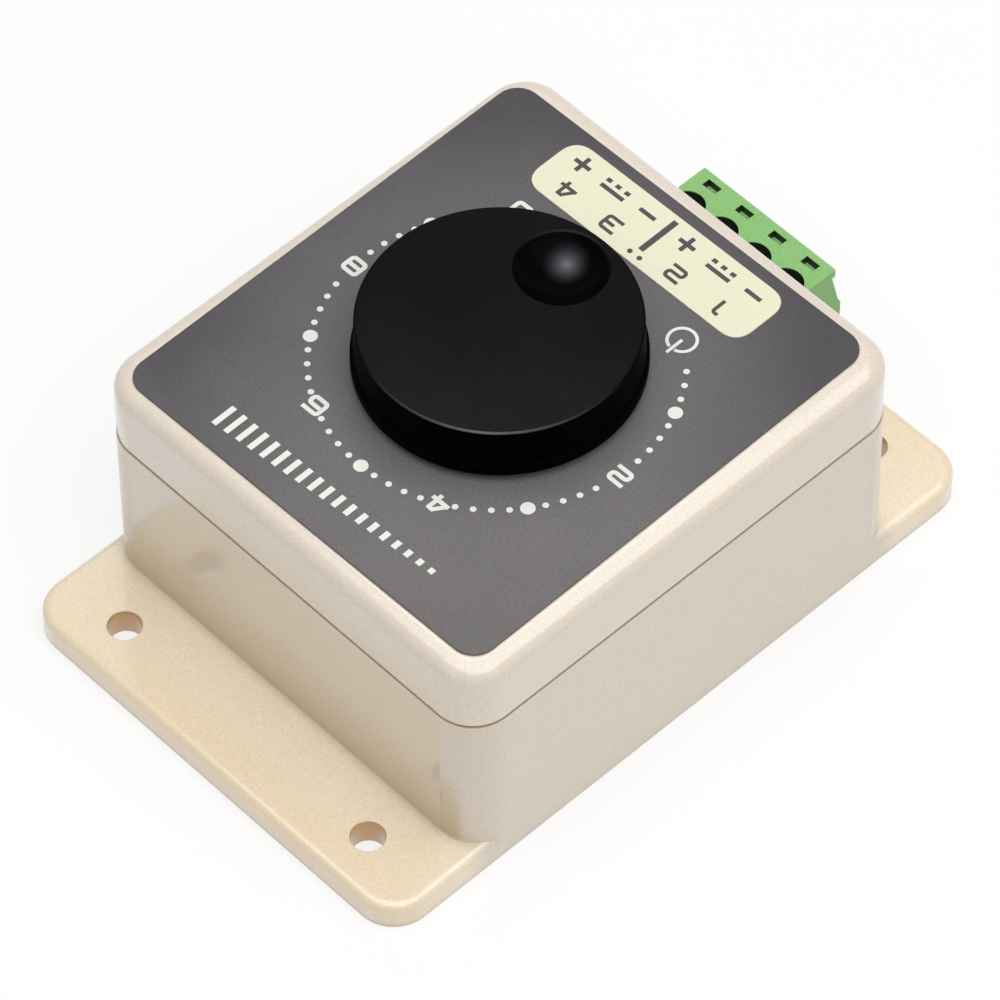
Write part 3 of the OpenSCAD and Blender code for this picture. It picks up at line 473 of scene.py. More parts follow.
# The power transistor on its heat sink. An extruded black anodised sink stands on the board;
# the transistor's tinned tab is screwed to it and its body is black moulding compound.
ANODISED_COLOUR, ANODISED_LINE = (0.030, 0.032, 0.036, 1), (0.055, 0.058, 0.064, 1)
TIN_COLOUR, TIN_DULL = (0.66, 0.66, 0.64, 1), (0.47, 0.47, 0.45, 1)
COMPOUND_COLOUR, COMPOUND_DUST = (0.020, 0.020, 0.022, 1), (0.045, 0.044, 0.042, 1)
HAZE_WAY = (-0.62, 0.78, 0)
HAZE_START, HAZE_END = -6 * MM, 34 * MM
CLOUDS_FROM, CLOUDS_FULL, CLOUD_SHARE = 0.3, 0.7, 0.12
BLOCK_EDGE, SMALL_EDGE = 0.10 * MM, 0.08 * MM


def dust_and_sheen_group():
    """A grey haze over dark film, stronger one way, in clouds: dust on the small black parts, a painted
    sheen on the panel, and a lighter side on the knob's face.
    """
    group, given, out = group_of("dust_and_sheen", [("Cloud Size", "Float", 9 * MM)], [("Haze", "Float")])
    place = add(group, "TexCoord").outputs["Object"]
    along = add(group, "VectorMath", {0: place, 1: HAZE_WAY}, operation="DOT_PRODUCT")
    fade = add(group, "MapRange", {"Value": along.outputs["Value"]}, interpolation_type="SMOOTHSTEP",
        from_min=HAZE_START, from_max=HAZE_END)
    often = add(group, "Math", {0: 1, 1: given.outputs["Cloud Size"]}, operation="DIVIDE")
    clouds = add(group, "TexNoise", {"Vector": place, "Scale": often.outputs[0]}, detail=6.0)
    cloud_share = add(group, "MapRange", {"Value": clouds.outputs["Fac"]}, from_min=CLOUDS_FROM,
        from_max=CLOUDS_FULL, to_min=-CLOUD_SHARE, to_max=CLOUD_SHARE)
    both = add(group, "Math", {0: fade.outputs[0], 1: cloud_share.outputs[0]}, operation="ADD",
        use_clamp=True)
    group.links.new(both.outputs[0], out.inputs["Haze"])
    return group


DUST_AND_SHEEN = dust_and_sheen_group()
soften(dress("heat_sink", look("black_anodised", ANODISED_COLOUR, roughness=0.48, mottle=0.10,
    edge=2.2, hazes=[(DRAWN_LINES, ANODISED_LINE, {"line_size": 0.14 * MM})], metallic=0.6)), BLOCK_EDGE)
TIN_LOOK = look("tinned_metal", TIN_COLOUR, roughness=0.30, mottle=0.06,
    hazes=[(DRAWN_LINES, TIN_DULL)], metallic=1.0)
COMPOUND_LOOK = look("black_compound", COMPOUND_COLOUR, roughness=0.52, grain_depth=0.010 * MM,
    mottle=0.15, edge=1.8, hazes=[(DUST_AND_SHEEN, COMPOUND_DUST)])
dress("transistor_frame", TIN_LOOK)
soften(dress("transistor_body", COMPOUND_LOOK), SMALL_EDGE)
soften(dress("sink_screw", STEEL_LOOK), SCREW_EDGE)


# The small parts that are soldered to the board: timer chip, diode, lacquered resistors with
# colour rings, boxed film capacitors, and two electrolytic capacitors in shrunk sleeves.
RESISTOR_COLOUR, RESISTOR_RING = (0.220, 0.450, 0.600, 1), (0.230, 0.060, 0.020, 1)
RING_PITCH, RING_SHARE = 1.4 * MM, 0.30
FILM_BOX_COLOUR = (0.450, 0.070, 0.030, 1)
SLEEVE_COLOUR, SLEEVE_STRIPE = (0.018, 0.026, 0.060, 1), (0.300, 0.320, 0.380, 1)
STRIPE_PITCH, STRIPE_SHARE = 30 * MM, 0.11
SLEEVE_EDGE = 0.20 * MM
for part in ("timer_chip", "diode"):
    soften(dress(part, COMPOUND_LOOK), SMALL_EDGE)
for part in ("timer_legs", "diode_leads", "resistor_leads", "bulk_leads"):
    weld(dress(part, TIN_LOOK))
dress("resistors", look("resistor_lacquer", RESISTOR_COLOUR, roughness=0.34, mottle=0.08,
    hazes=[(BANDS, RESISTOR_RING, {"pitch": RING_PITCH, "width": RING_SHARE})], coat_weight=0.3))
soften(dress("film_capacitors", look("film_box", FILM_BOX_COLOUR, roughness=0.40, mottle=0.08,
    edge=1.3)), BLOCK_EDGE)
soften(dress("bulk_capacitors", look("capacitor_sleeve", SLEEVE_COLOUR, roughness=0.34, mottle=0.10,
    edge=1.6, hazes=[(BANDS, SLEEVE_STRIPE, {"pitch": STRIPE_PITCH, "width": STRIPE_SHARE})])),
    SLEEVE_EDGE)


# The potentiometer with its switch. A zinc-plated can holds a laminate wafer with the track,
# the acetal rotor and its spring wiper; the threaded brass bushing is nutted to the cover.
BRASS_COLOUR, BRASS_DULL = (0.70, 0.50, 0.20, 1), (0.48, 0.33, 0.13, 1)
ACETAL_COLOUR = (0.78, 0.76, 0.68, 1)
LAMINATE_COLOUR, LAMINATE_FIBRE = (0.200, 0.085, 0.032, 1), (0.270, 0.125, 0.050, 1)
FIBRE_SIZE, FIBRE_WAY = 0.3 * MM, (1, 0.1, 1)
BRASS_LOOK = look("brass", BRASS_COLOUR, roughness=0.28, mottle=0.08,
    hazes=[(DRAWN_LINES, BRASS_DULL)], metallic=1.0)
for part in ("pot_can", "pot_washer", "pot_nut"):
    soften(dress(part, STEEL_LOOK), SMALL_EDGE)
for part in ("pot_shaft", "pot_pins"):
    dress(part, TIN_LOOK)
for part in ("pot_bushing", "pot_wiper"):
    dress(part, BRASS_LOOK)
soften(dress("pot_switch", COMPOUND_LOOK), BLOCK_EDGE)
dress("pot_rotor", look("acetal", ACETAL_COLOUR, roughness=0.42, mottle=0.04))
dress("pot_wafer", look("paper_laminate", LAMINATE_COLOUR, roughness=0.50, mottle=0.10,
    hazes=[(DRAWN_LINES, LAMINATE_FIBRE, {"line_size": FIBRE_SIZE, "stretch": FIBRE_WAY})]))


# The cover screws. Four zinc-plated self-tapping screws, driven up from below through the
# lower case into the cover's posts.
soften(dress("cover_screws", STEEL_LOOK), SCREW_EDGE)


# The header. Green polyamide like the plug's, soldered to the board behind the end wall; the
# plug's sockets slide over its four tinned pins.
TERMINAL_COLOUR = (0.226, 0.480, 0.150, 1)
HEADER_SHADOW_SHARE = 0.2
soften(dress("header_housing", look("header_plastic", TERMINAL_COLOUR, roughness=0.46,
    grain_size=0.25 * MM, grain_depth=0.010 * MM, edge=1.12,
    shadow_colour=shade(TERMINAL_COLOUR, HEADER_SHADOW_SHARE))), BLOCK_EDGE)
dress("header_pins", TIN_LOOK)


# The printed panel. A polyester film, dark warm grey with a fine satin grain, stuck on the
# cover by hand. A painted sheen lightens it towards its upper left corner, and painted light
# lifts the shade that the knob throws round itself.
PANEL_COLOUR = (0.073, 0.069, 0.075, 1)
# Painted sheen over the panel, stronger towards its upper left corner.
PANEL_SHEEN_COLOUR = (0.165, 0.154, 0.154, 1)
# Painted light round the knob, where the knob shades the panel.
PANEL_LIGHT_COLOUR = (0.240, 0.225, 0.235, 1)
PANEL_LIGHT_REACH, PANEL_LIGHT_POWER, SPOT_POWER = 34 * MM, 1.0, 1.8


def light_spot_group():
    """A spot of painted light: full at its middle and gone at its reach."""
    group, given, out = group_of("light_spot", [("Place", "Vector", (0, 0, 0)),
        ("Reach", "Float", PANEL_LIGHT_REACH), ("Power", "Float", SPOT_POWER)], [("Lit", "Float")])
    place = add(group, "TexCoord").outputs["Object"]
    away = add(group, "VectorMath", {0: place, 1: given.outputs["Place"]}, operation="DISTANCE")
    share = add(group, "Math", {0: away.outputs["Value"], 1: given.outputs["Reach"]}, operation="DIVIDE")
    near = add(group, "MapRange", {"Value": share.outputs[0]}, from_min=1.0, from_max=0.0)
    fade = add(group, "Math", {0: near.outputs[0], 1: given.outputs["Power"]}, operation="POWER")
    group.links.new(fade.outputs[0], out.inputs["Lit"])
    return group


LIGHT_SPOT = light_spot_group()
panel_low, panel_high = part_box("face_panel")
PANEL_LOOK = look("panel_film", PANEL_COLOUR, roughness=0.42, grain_size=0.32 * MM,
    grain_depth=0.016 * MM, mottle=0.07, mottle_size=7 * MM, fleck=0.09, edge=1.25,
    edge_reach=0.2 * MM, specular_ior_level=0.2, hazes=[(DUST_AND_SHEEN, PANEL_SHEEN_COLOUR),
    (LIGHT_SPOT, PANEL_LIGHT_COLOUR, {"place": (0, 0, panel_high.z), "power": PANEL_LIGHT_POWER})])
soften(dress("face_panel", PANEL_LOOK), SMALL_EDGE)


# The dial on the panel. Screen-printed white ink: a ring of dots round the knob, larger at the
# odd values, square plain numerals at the even ones, and the standby mark where the switch clicks.
# The film sits a little askew, and its print with it.
PANEL_TURN = radians(0.9)
INK_RISE = 0.02 * MM
INK_STEP = 0.002 * MM
INK_WHITE = (0.82, 0.82, 0.76, 1)
DIAL_SHIFT = (0.17 * MM, -0.25 * MM)
DIAL_RADIUS = 20.2 * MM
DIAL_STEP = radians(5.436)
DIAL_MIDDLE = radians(90.25)
DIAL_FIRST, DIAL_LAST = -25, 24
LARGE_DOTS = (0, 10, -10, 21, -21)
NUMERAL_GAPS = (5, 15, 16, -5, -15, -16)
LARGE_DOT_RADIUS = 0.82 * MM
SMALL_DOT_RADIUS = 0.36 * MM
DOT_SIDES = 24
NUMERAL_PLACES = {"2": (-20.27, 1.80), "4": (-9.44, 17.99), "6": (9.10, 17.96), "8": (20.03, 1.82),
    "10": (11.55, -16.30)}
NUMERAL_WIDTH = 1.90 * MM
NUMERAL_HEIGHT = 1.86 * MM
NUMERAL_STROKE = 0.51 * MM
NUMERAL_GAP = 0.35 * MM
CORNER_SHARE = 0.23
MITRE_LIMIT = 0.3
GLYPH_SHARES = {
    "0": [([(0, 0), (1, 0), (1, 1), (0, 1)], True)],
    "1": [([(0.20, 1), (0.62, 1), (0.62, -0.11)], False)],
    "2": [([(-0.11, 1), (1, 1), (1, 0.5), (0, 0.5), (0, 0), (1.11, 0)], False)],
    "3": [([(-0.11, 1), (1, 1), (1, 0), (-0.11, 0)], False), ([(0.25, 0.5), (0.88, 0.5)], False)],
    "4": [([(0.74, -0.11), (0.74, 1.11)], False), ([(0.48, 1.02), (0.02, 0.34)], False),
        ([(0.36, 1), (0.74, 1)], False), ([(-0.14, 0.30), (1.11, 0.30)], False)],
    "6": [([(1.11, 1), (0, 1), (0, 0), (1, 0), (1, 0.54), (0.12, 0.54)], False)],
    "8": [([(0, 0), (1, 0), (1, 1), (0, 1)], True), ([(0.12, 0.5), (0.88, 0.5)], False)],
}

panel_middle = (panel_low + panel_high) / 2
on_panel = Matrix.Translation((panel_middle.x, panel_middle.y, panel_high.z)) @ Matrix.Rotation(
    PANEL_TURN, 4, "Z")


def lay_down(name, mesh, material, place=Matrix.Identity(4), body="case"):
    """Makes a piece of a mesh drawn in a surface's own coordinates and lays it on that surface."""
    data = bpy.data.meshes.new(name)
    bmesh.ops.recalc_face_normals(mesh, faces=mesh.faces)
    mesh.to_mesh(data)
    mesh.free()
    data.transform(place)
    data.materials.append(material)
    piece = bpy.data.objects.new(name, data)
    bpy.context.collection.objects.link(piece)
    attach(piece, body)
    return piece


def raise_outline(mesh, outline, level=0):
    """A slab of ink with this outline; each further level lies a hair higher so that slabs can cross."""
    top = INK_RISE + level * INK_STEP
    upper = [mesh.verts.new((x, y, top)) for x, y in outline]
    lower = [mesh.verts.new((x, y, -INK_RISE)) for x, y in outline]
    mesh.faces.new(upper)
    mesh.faces.new(list(reversed(lower)))
    count = len(outline)
    for i in range(count):
        j = (i + 1) % count
        mesh.faces.new((lower[i], lower[j], upper[j], upper[i]))


def disc(x, y, radius, sides=DOT_SIDES):
    """Points of a circle's outline."""
    return [(x + radius * cos(2 * pi * k / sides), y + radius * sin(2 * pi * k / sides))
        for k in range(sides)]


def rounded_path(points, radius, closed, steps=5):
    """The path with each corner replaced by a short curve that starts and ends radius before it."""
    count = len(points)
    path = []
    for i, corner in enumerate(points):
        corner = Vector(corner)
        if not closed and i in (0, count - 1):
            path.append(corner)
            continue
        before, after = Vector(points[i - 1]), Vector(points[(i + 1) % count])
        reach_in = min(radius, (before - corner).length / 2)
        reach_out = min(radius, (after - corner).length / 2)
        start = corner + (before - corner).normalized() * reach_in
        end = corner + (after - corner).normalized() * reach_out
        for k in range(steps + 1):
            t = k / steps
            path.append(start * (1 - t) ** 2 + corner * 2 * t * (1 - t) + end * t ** 2)
    return path


def pen_stroke(mesh, points, width, closed=False, radius=0.0, level=0):
    """Inks a stroke of even width along a path, as one slab or, closed, as a ring of slabs."""
    path = rounded_path(points, radius, closed) if radius else [Vector(p) for p in points]
    count = len(path)
    left, right = [], []
    for i, point in enumerate(path):
        before = path[i - 1] if closed or i else None
        after = path[(i + 1) % count] if closed or i < count - 1 else None
        way_in = (point - before).normalized() if before is not None else None
        way_out = (after - point).normalized() if after is not None else None
        way_in = way_in or way_out
        way_out = way_out or way_in
        side = Vector((-(way_in.y + way_out.y), way_in.x + way_out.x)).normalized()
        half_width = width / 2 / max(MITRE_LIMIT, side.dot(Vector((-way_in.y, way_in.x))))
        left.append(point + side * half_width)
        right.append(point - side * half_width)
    top = INK_RISE + level * INK_STEP
    rows = [[mesh.verts.new((p.x, p.y, z)) for p in line]
        for line, z in ((left, top), (right, top), (right, -INK_RISE), (left, -INK_RISE))]
    for i in range(count if closed else count - 1):
        j = (i + 1) % count
        for a, b in ((0, 1), (1, 2), (2, 3), (3, 0)):
            mesh.faces.new((rows[a][i], rows[b][i], rows[b][j], rows[a][j]))
    if not closed:
        for end in (0, count - 1):
            mesh.faces.new([row[end] for row in rows])


def write_number(mesh, text, x, y, width, height, stroke, gap):
    """Plain square numerals, centred on x and y."""
    step = width + stroke + gap
    first = x - step * (len(text) - 1) / 2 - width / 2
    for i, sign in enumerate(text):
        for level, (shares, closed) in enumerate(GLYPH_SHARES[sign]):
            points = [(first + i * step + u * width, y - height / 2 + v * height) for u, v in shares]
            pen_stroke(mesh, points, stroke, closed, CORNER_SHARE * width, level)


def around_dial(angle):
    """A place on the dial's ring in the panel's own coordinates."""
    return DIAL_SHIFT[0] + DIAL_RADIUS * cos(angle), DIAL_SHIFT[1] + DIAL_RADIUS * sin(angle)


INK_SURFACE = {"roughness": 0.45, "grain_size": 0.20 * MM, "grain_depth": 0.004 * MM, "edge": 1.0}
WHITE_INK = look("white_ink", INK_WHITE, **INK_SURFACE, mottle=0.03)

dots = bmesh.new()
for n in range(DIAL_FIRST, DIAL_LAST + 1):
    if n in NUMERAL_GAPS:
        continue
    radius = LARGE_DOT_RADIUS if n in LARGE_DOTS else SMALL_DOT_RADIUS
    raise_outline(dots, disc(*around_dial(DIAL_MIDDLE + n * DIAL_STEP), radius))
lay_down("dial_dots", dots, WHITE_INK, on_panel)

numerals = bmesh.new()
for text, (x, y) in NUMERAL_PLACES.items():
    write_number(numerals, text, DIAL_SHIFT[0] + x * MM, DIAL_SHIFT[1] + y * MM, NUMERAL_WIDTH,
        NUMERAL_HEIGHT, NUMERAL_STROKE, NUMERAL_GAP)
lay_down("dial_numerals", numerals, WHITE_INK, on_panel)

STANDBY_PLACE = (-11.95, -15.93)
STANDBY_RADIUS = 1.62 * MM
STANDBY_STROKE = 0.37 * MM
STANDBY_OPEN_DEG = 13
STANDBY_BAR = 2.4 * MM
standby = bmesh.new()
standby_x, standby_y = [shift + place * MM for shift, place in zip(DIAL_SHIFT, STANDBY_PLACE)]
arc_start, arc_sweep = radians(90 + STANDBY_OPEN_DEG), radians(360 - 2 * STANDBY_OPEN_DEG)
ARC_STEPS = 40
pen_stroke(standby, [(standby_x + STANDBY_RADIUS * cos(arc_start + arc_sweep * k / ARC_STEPS),
    standby_y + STANDBY_RADIUS * sin(arc_start + arc_sweep * k / ARC_STEPS))
    for k in range(ARC_STEPS + 1)], STANDBY_STROKE)
pen_stroke(standby, [(standby_x, standby_y), (standby_x, standby_y + STANDBY_BAR)],
    STANDBY_STROKE, level=1)
lay_down("standby_mark", standby, WHITE_INK, on_panel)


# The slow-to-fast mark across the top of the panel: a row of ink bars that grow from left to
# right, the plain sign for a control that turns something up.
BARS = 19
BARS_WIDTH = 30.2 * MM
BARS_FOOT = 24.0 * MM
BAR_STROKE = 0.70 * MM
BAR_LOWEST, BAR_HIGHEST = 0.7 * MM, 3.1 * MM
speed_bars = bmesh.new()
for n in range(BARS):
    share = n / (BARS - 1)
    x = (share - 0.5) * BARS_WIDTH
    rise = BAR_LOWEST + share * (BAR_HIGHEST - BAR_LOWEST)
    pen_stroke(speed_bars, [(x, BARS_FOOT), (x, BARS_FOOT + rise)], BAR_STROKE)
lay_down("slow_to_fast_bars", speed_bars, WHITE_INK, on_panel)


# The pale label beside the terminals. A second small film with round corners, die-cut and stuck
# on the panel by hand.
LABEL_COLOUR = (0.80, 0.785, 0.575, 1)
LABEL_LENGTH, LABEL_WIDTH = 32.3 * MM, 8.25 * MM
LABEL_CORNER, CORNER_STRETCH, CORNER_STEPS = 2.1 * MM, 1.25, 10
LABEL_EDGE = 0.05 * MM
LABEL_SHIFT = (-0.64 * MM, 0.18 * MM)
LABEL_TURN = radians(0.8)


def rounded_slab(mesh, length, width, corner, low, high, edge):
    """A thin sheet with round corners; its upper edge is drawn in a little where the die rounded it."""
    half_x, half_y = length / 2, width / 2
    square = [(-half_x, -half_y), (half_x, -half_y), (half_x, half_y), (-half_x, half_y)]
    outline = rounded_path(square, corner * CORNER_STRETCH, True, CORNER_STEPS)
    rows = []
    for inset, z in ((0, low), (0, high - edge), (edge, high)):
        rows.append([mesh.verts.new((p.x * (1 - inset / half_x), p.y * (1 - inset / half_y), z))
            for p in outline])
    for lower_row, upper_row in zip(rows, rows[1:]):
        for i in range(len(outline)):
            j = (i + 1) % len(outline)
            mesh.faces.new((lower_row[i], lower_row[j], upper_row[j], upper_row[i]))
    mesh.faces.new(rows[-1])
    mesh.faces.new(list(reversed(rows[0])))


label_low, label_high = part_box("terminal_label")
label_middle = (label_low + label_high) / 2
on_cover = Matrix.Translation((label_middle.x + LABEL_SHIFT[0], label_middle.y + LABEL_SHIFT[1], 0))
label_sheet = bmesh.new()
rounded_slab(label_sheet, LABEL_LENGTH, LABEL_WIDTH, LABEL_CORNER, label_low.z, label_high.z, LABEL_EDGE)
LABEL_LOOK = look("label_film", LABEL_COLOUR, roughness=0.40, grain_size=0.30 * MM, mottle=0.015,
    edge=1.02)
label = lay_down("label_sheet", label_sheet, LABEL_LOOK, on_cover @ Matrix.Rotation(LABEL_TURN, 4, "Z"))
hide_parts("terminal_label")

# Its print: plus and minus over each pair of poles, a bar between the pairs, the poles' plain
# numbers, and the sign for direct current.
LABEL_INK_COLOUR = (0.035, 0.033, 0.035, 1)
SIGN_SIZE = 2.3 * MM
SIGN_STROKE = 0.54 * MM
SIGN_ROW = -25.85 * MM
NUMBER_ROW = -22.05 * MM
OUTER_SIGN, INNER_SIGN = 12.9 * MM, 3.0 * MM
POLE_NUMBERS = {"1": -11.6 * MM, "2": -5.0 * MM, "3": 4.8 * MM, "4": 11.6 * MM}
POLE_NUMBER_WIDTH, POLE_NUMBER_HEIGHT, POLE_NUMBER_STROKE = 1.8 * MM, 1.8 * MM, 0.44 * MM
CURRENT_SIGNS = (-8.1 * MM, 7.9 * MM)
CURRENT_WIDTH = 3.4 * MM
DASH_WIDTH = CURRENT_WIDTH / 5
CURRENT_GAP = 1.0 * MM
DIVIDER_TOP, DIVIDER_FOOT = -21.75 * MM, -27.3 * MM
DIVIDER_STROKE = 0.75 * MM
COLON_X, COLON_Y, COLON_RADIUS = 0.72 * MM, -20.85 * MM, 0.32 * MM
on_label = Matrix.Translation((panel_middle.x, panel_middle.y, label_high.z)) @ Matrix.Rotation(
    PANEL_TURN, 4, "Z")
DARK_INK = look("dark_ink", LABEL_INK_COLOUR, **INK_SURFACE, mottle=0.08)

signs = bmesh.new()
for x, plus in ((-OUTER_SIGN, False), (-INNER_SIGN, True), (INNER_SIGN, False), (OUTER_SIGN, True)):
    pen_stroke(signs, [(x - SIGN_SIZE / 2, SIGN_ROW), (x + SIGN_SIZE / 2, SIGN_ROW)], SIGN_STROKE)
    if plus:
        pen_stroke(signs, [(x, SIGN_ROW - SIGN_SIZE / 2), (x, SIGN_ROW + SIGN_SIZE / 2)],
            SIGN_STROKE, level=1)
for x in CURRENT_SIGNS:
    pen_stroke(signs, [(x - CURRENT_WIDTH / 2, SIGN_ROW + CURRENT_GAP / 2),
        (x + CURRENT_WIDTH / 2, SIGN_ROW + CURRENT_GAP / 2)], SIGN_STROKE)
    for n in (-2, 0, 2):
        pen_stroke(signs, [(x + (n - 0.5) * DASH_WIDTH, SIGN_ROW - CURRENT_GAP / 2),
            (x + (n + 0.5) * DASH_WIDTH, SIGN_ROW - CURRENT_GAP / 2)], SIGN_STROKE)
pen_stroke(signs, [(0, DIVIDER_TOP), (0, DIVIDER_FOOT)], DIVIDER_STROKE)
for x in (-COLON_X, COLON_X):
    raise_outline(signs, disc(x, COLON_Y, COLON_RADIUS))
lay_down("terminal_signs", signs, DARK_INK, on_label)

pole_numbers = bmesh.new()
for text, x in POLE_NUMBERS.items():
    write_number(pole_numbers, text, x, NUMBER_ROW, POLE_NUMBER_WIDTH, POLE_NUMBER_HEIGHT,
        POLE_NUMBER_STROKE, 0)
lay_down("terminal_numbers", pole_numbers, DARK_INK, on_label)


# The knob. Black moulded plastic with a satin face, a dimple, a slim skirt at its foot, and a
# hollow underside with ribs that run from the hub to the wall. Painted highlights lie in the
# dimple, on its lip and along the near part of the rim; its sides, bowl and rims take a darker
# black than its face, which is painted shade, and its face is lighter towards one side, in clouds.
KNOB_COLOUR = (0.0050, 0.0048, 0.0062, 1)
# A darker black than the face's, for the knob's sides, bowl and rims: painted shade.
KNOB_SHADED_COLOUR = (0.0005, 0.0005, 0.0006, 1)
KNOB_SIDES = 192
KNOB_WALL_RADIUS = 15.6 * MM
KNOB_TOP_RADIUS = 15.45 * MM
KNOB_EDGE = 0.20 * MM
KNOB_SKIRT_HEIGHT = 1.3 * MM
KNOB_WALL = 1.8 * MM
KNOB_ROOF = 1.5 * MM
HUB_RADIUS = 5.0 * MM
BORE_RADIUS = 3.05 * MM
HUB_LIFT = 0.4 * MM
BOWL_WALL = 1.0 * MM
RIBS = 6
RIB_THICKNESS = 1.0 * MM
DIMPLE_RADIUS = 5.2 * MM
DIMPLE_DEPTH = 2.2 * MM
DIMPLE_OUT = 9.6 * MM
DIMPLE_TURN = radians(3)
DIMPLE_LIP, DIMPLE_LIP_WIDTH, LIP_STEPS = 0.15 * MM, 0.24 * MM, 5
DIMPLE_RINGS = 18
KNOB_HAZE_COLOUR = (0.021, 0.021, 0.022, 1)
# Painted highlight in the dimple.
DIMPLE_HIGHLIGHT_COLOUR = (0.166, 0.173, 0.198, 1)
DIMPLE_HIGHLIGHT_PLACE, DIMPLE_HIGHLIGHT_REACH = (1.52 * MM, -11.37 * MM, 39.30 * MM), 3.2 * MM
DIMPLE_HIGHLIGHT_POWER = 2.8
# Painted highlight on the dimple's lip.
LIP_HIGHLIGHT_REACH = 6.0 * MM
LIP_HIGHLIGHT_COLOUR = (0.11, 0.116, 0.122, 1)
# Painted highlight along the near part of the rim.
RIM_HIGHLIGHT_PLACE, RIM_HIGHLIGHT_REACH = (-9.7 * MM, 12.0 * MM, 41.2 * MM), 18 * MM
RIM_HIGHLIGHT_COLOUR = (0.15, 0.15, 0.15, 1)

knob_low, knob_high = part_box("knob")
KNOB_SURFACE = {"mottle": 0.10, "edge": 2.0, "edge_reach": 0.10 * MM}
KNOB_POLISHED = {**KNOB_SURFACE, "grain_size": 0.30 * MM, "grain_depth": 0.003 * MM}
KNOB_LOOK = look("knob_plastic", KNOB_COLOUR, **KNOB_SURFACE, roughness=0.50, grain_size=0.20 * MM,
    grain_depth=0.014 * MM, fleck=0.20, hazes=[(DUST_AND_SHEEN, KNOB_HAZE_COLOUR)],
    specular_ior_level=0.035)
RIM_LOOK = look("knob_rim", KNOB_SHADED_COLOUR, **KNOB_SURFACE, roughness=0.40, grain_size=0.20 * MM,
    fleck=0.10, hazes=[(LIGHT_SPOT, RIM_HIGHLIGHT_COLOUR, {"place": RIM_HIGHLIGHT_PLACE, "reach": RIM_HIGHLIGHT_REACH})],
    specular_ior_level=0.02)
BOWL_LOOK = look("knob_bowl", KNOB_SHADED_COLOUR, **KNOB_POLISHED, roughness=0.30, hazes=[(LIGHT_SPOT,
    DIMPLE_HIGHLIGHT_COLOUR, {"place": DIMPLE_HIGHLIGHT_PLACE, "reach": DIMPLE_HIGHLIGHT_REACH, "power": DIMPLE_HIGHLIGHT_POWER})],
    specular_ior_level=0.015)
LIP_LOOK = look("knob_lip", KNOB_SHADED_COLOUR, **KNOB_POLISHED, roughness=0.30,
    hazes=[(LIGHT_SPOT, LIP_HIGHLIGHT_COLOUR, {"place": DIMPLE_HIGHLIGHT_PLACE, "reach": LIP_HIGHLIGHT_REACH})],
    specular_ior_level=0.015)
SIDE_LOOK = look("knob_side", KNOB_SHADED_COLOUR, **KNOB_POLISHED, roughness=0.45,
    specular_ior_level=0.012)


def quarter(cx, cz, radius, start_deg, end_deg, steps=5):
    """Points of a small rounding in a side outline, as (distance from the axis, height)."""
    return [(cx + radius * cos(radians(start_deg + (end_deg - start_deg) * k / steps)),
        cz + radius * sin(radians(start_deg + (end_deg - start_deg) * k / steps)))
        for k in range(steps + 1)]


def ring(mesh, x, y, radius, z, sides=KNOB_SIDES):
    """A circle of vertices."""
    return [mesh.verts.new((x + radius * cos(2 * pi * k / sides), y + radius * sin(2 * pi * k / sides), z))
        for k in range(sides)]


def bridge(mesh, first, second):
    """Faces between two rings of vertices with the same count."""
    count = len(first)
    for i in range(count):
        j = (i + 1) % count
        mesh.faces.new((first[i], first[j], second[j], second[i]))


def bevel_outline():
    """Side outline of the knob's outer skin, from its flat top out and down to its foot."""
    skirt_radius = (knob_high.x - knob_low.x) / 2
    foot, top = knob_low.z, knob_high.z
    lip = KNOB_EDGE / 2
    shoulder = foot + KNOB_SKIRT_HEIGHT
    return (quarter(KNOB_TOP_RADIUS - KNOB_EDGE, top - KNOB_EDGE, KNOB_EDGE, 90, 0)
        + quarter(KNOB_WALL_RADIUS + lip, shoulder + lip, lip, 180, 250, 3)
        + quarter(skirt_radius - lip, shoulder - lip, lip, 80, 0, 4)
        + quarter(skirt_radius - lip, foot + lip, lip, 0, -90, 4))


# The dimple's bowl and the lip round it.
knob = bmesh.new()
top = knob_high.z
dimple_x, dimple_y = DIMPLE_OUT * sin(DIMPLE_TURN), -DIMPLE_OUT * cos(DIMPLE_TURN)
bowl_radius = (DIMPLE_RADIUS ** 2 + DIMPLE_DEPTH ** 2) / (2 * DIMPLE_DEPTH)
bowl_reach = DIMPLE_RADIUS - DIMPLE_LIP
bowl = []
for k in range(1, DIMPLE_RINGS + 1):
    r = bowl_reach * k / DIMPLE_RINGS
    bowl.append((r, top - DIMPLE_DEPTH + bowl_radius - sqrt(bowl_radius ** 2 - r ** 2)))
lip_from = bowl[-1][1]
for k in range(1, LIP_STEPS + 1):
    t = k / LIP_STEPS
    bowl.append((bowl_reach + DIMPLE_LIP_WIDTH * t, lip_from + (top - lip_from) * sin(t * pi / 2)))
bowl_rings = [ring(knob, dimple_x, dimple_y, r, z) for r, z in bowl]
centre = knob.verts.new((dimple_x, dimple_y, top - DIMPLE_DEPTH))
for i in range(KNOB_SIDES):
    knob.faces.new((centre, bowl_rings[0][i], bowl_rings[0][(i + 1) % KNOB_SIDES]))
for inner_ring, outer_ring in zip(bowl_rings, bowl_rings[1:]):
    bridge(knob, inner_ring, outer_ring)

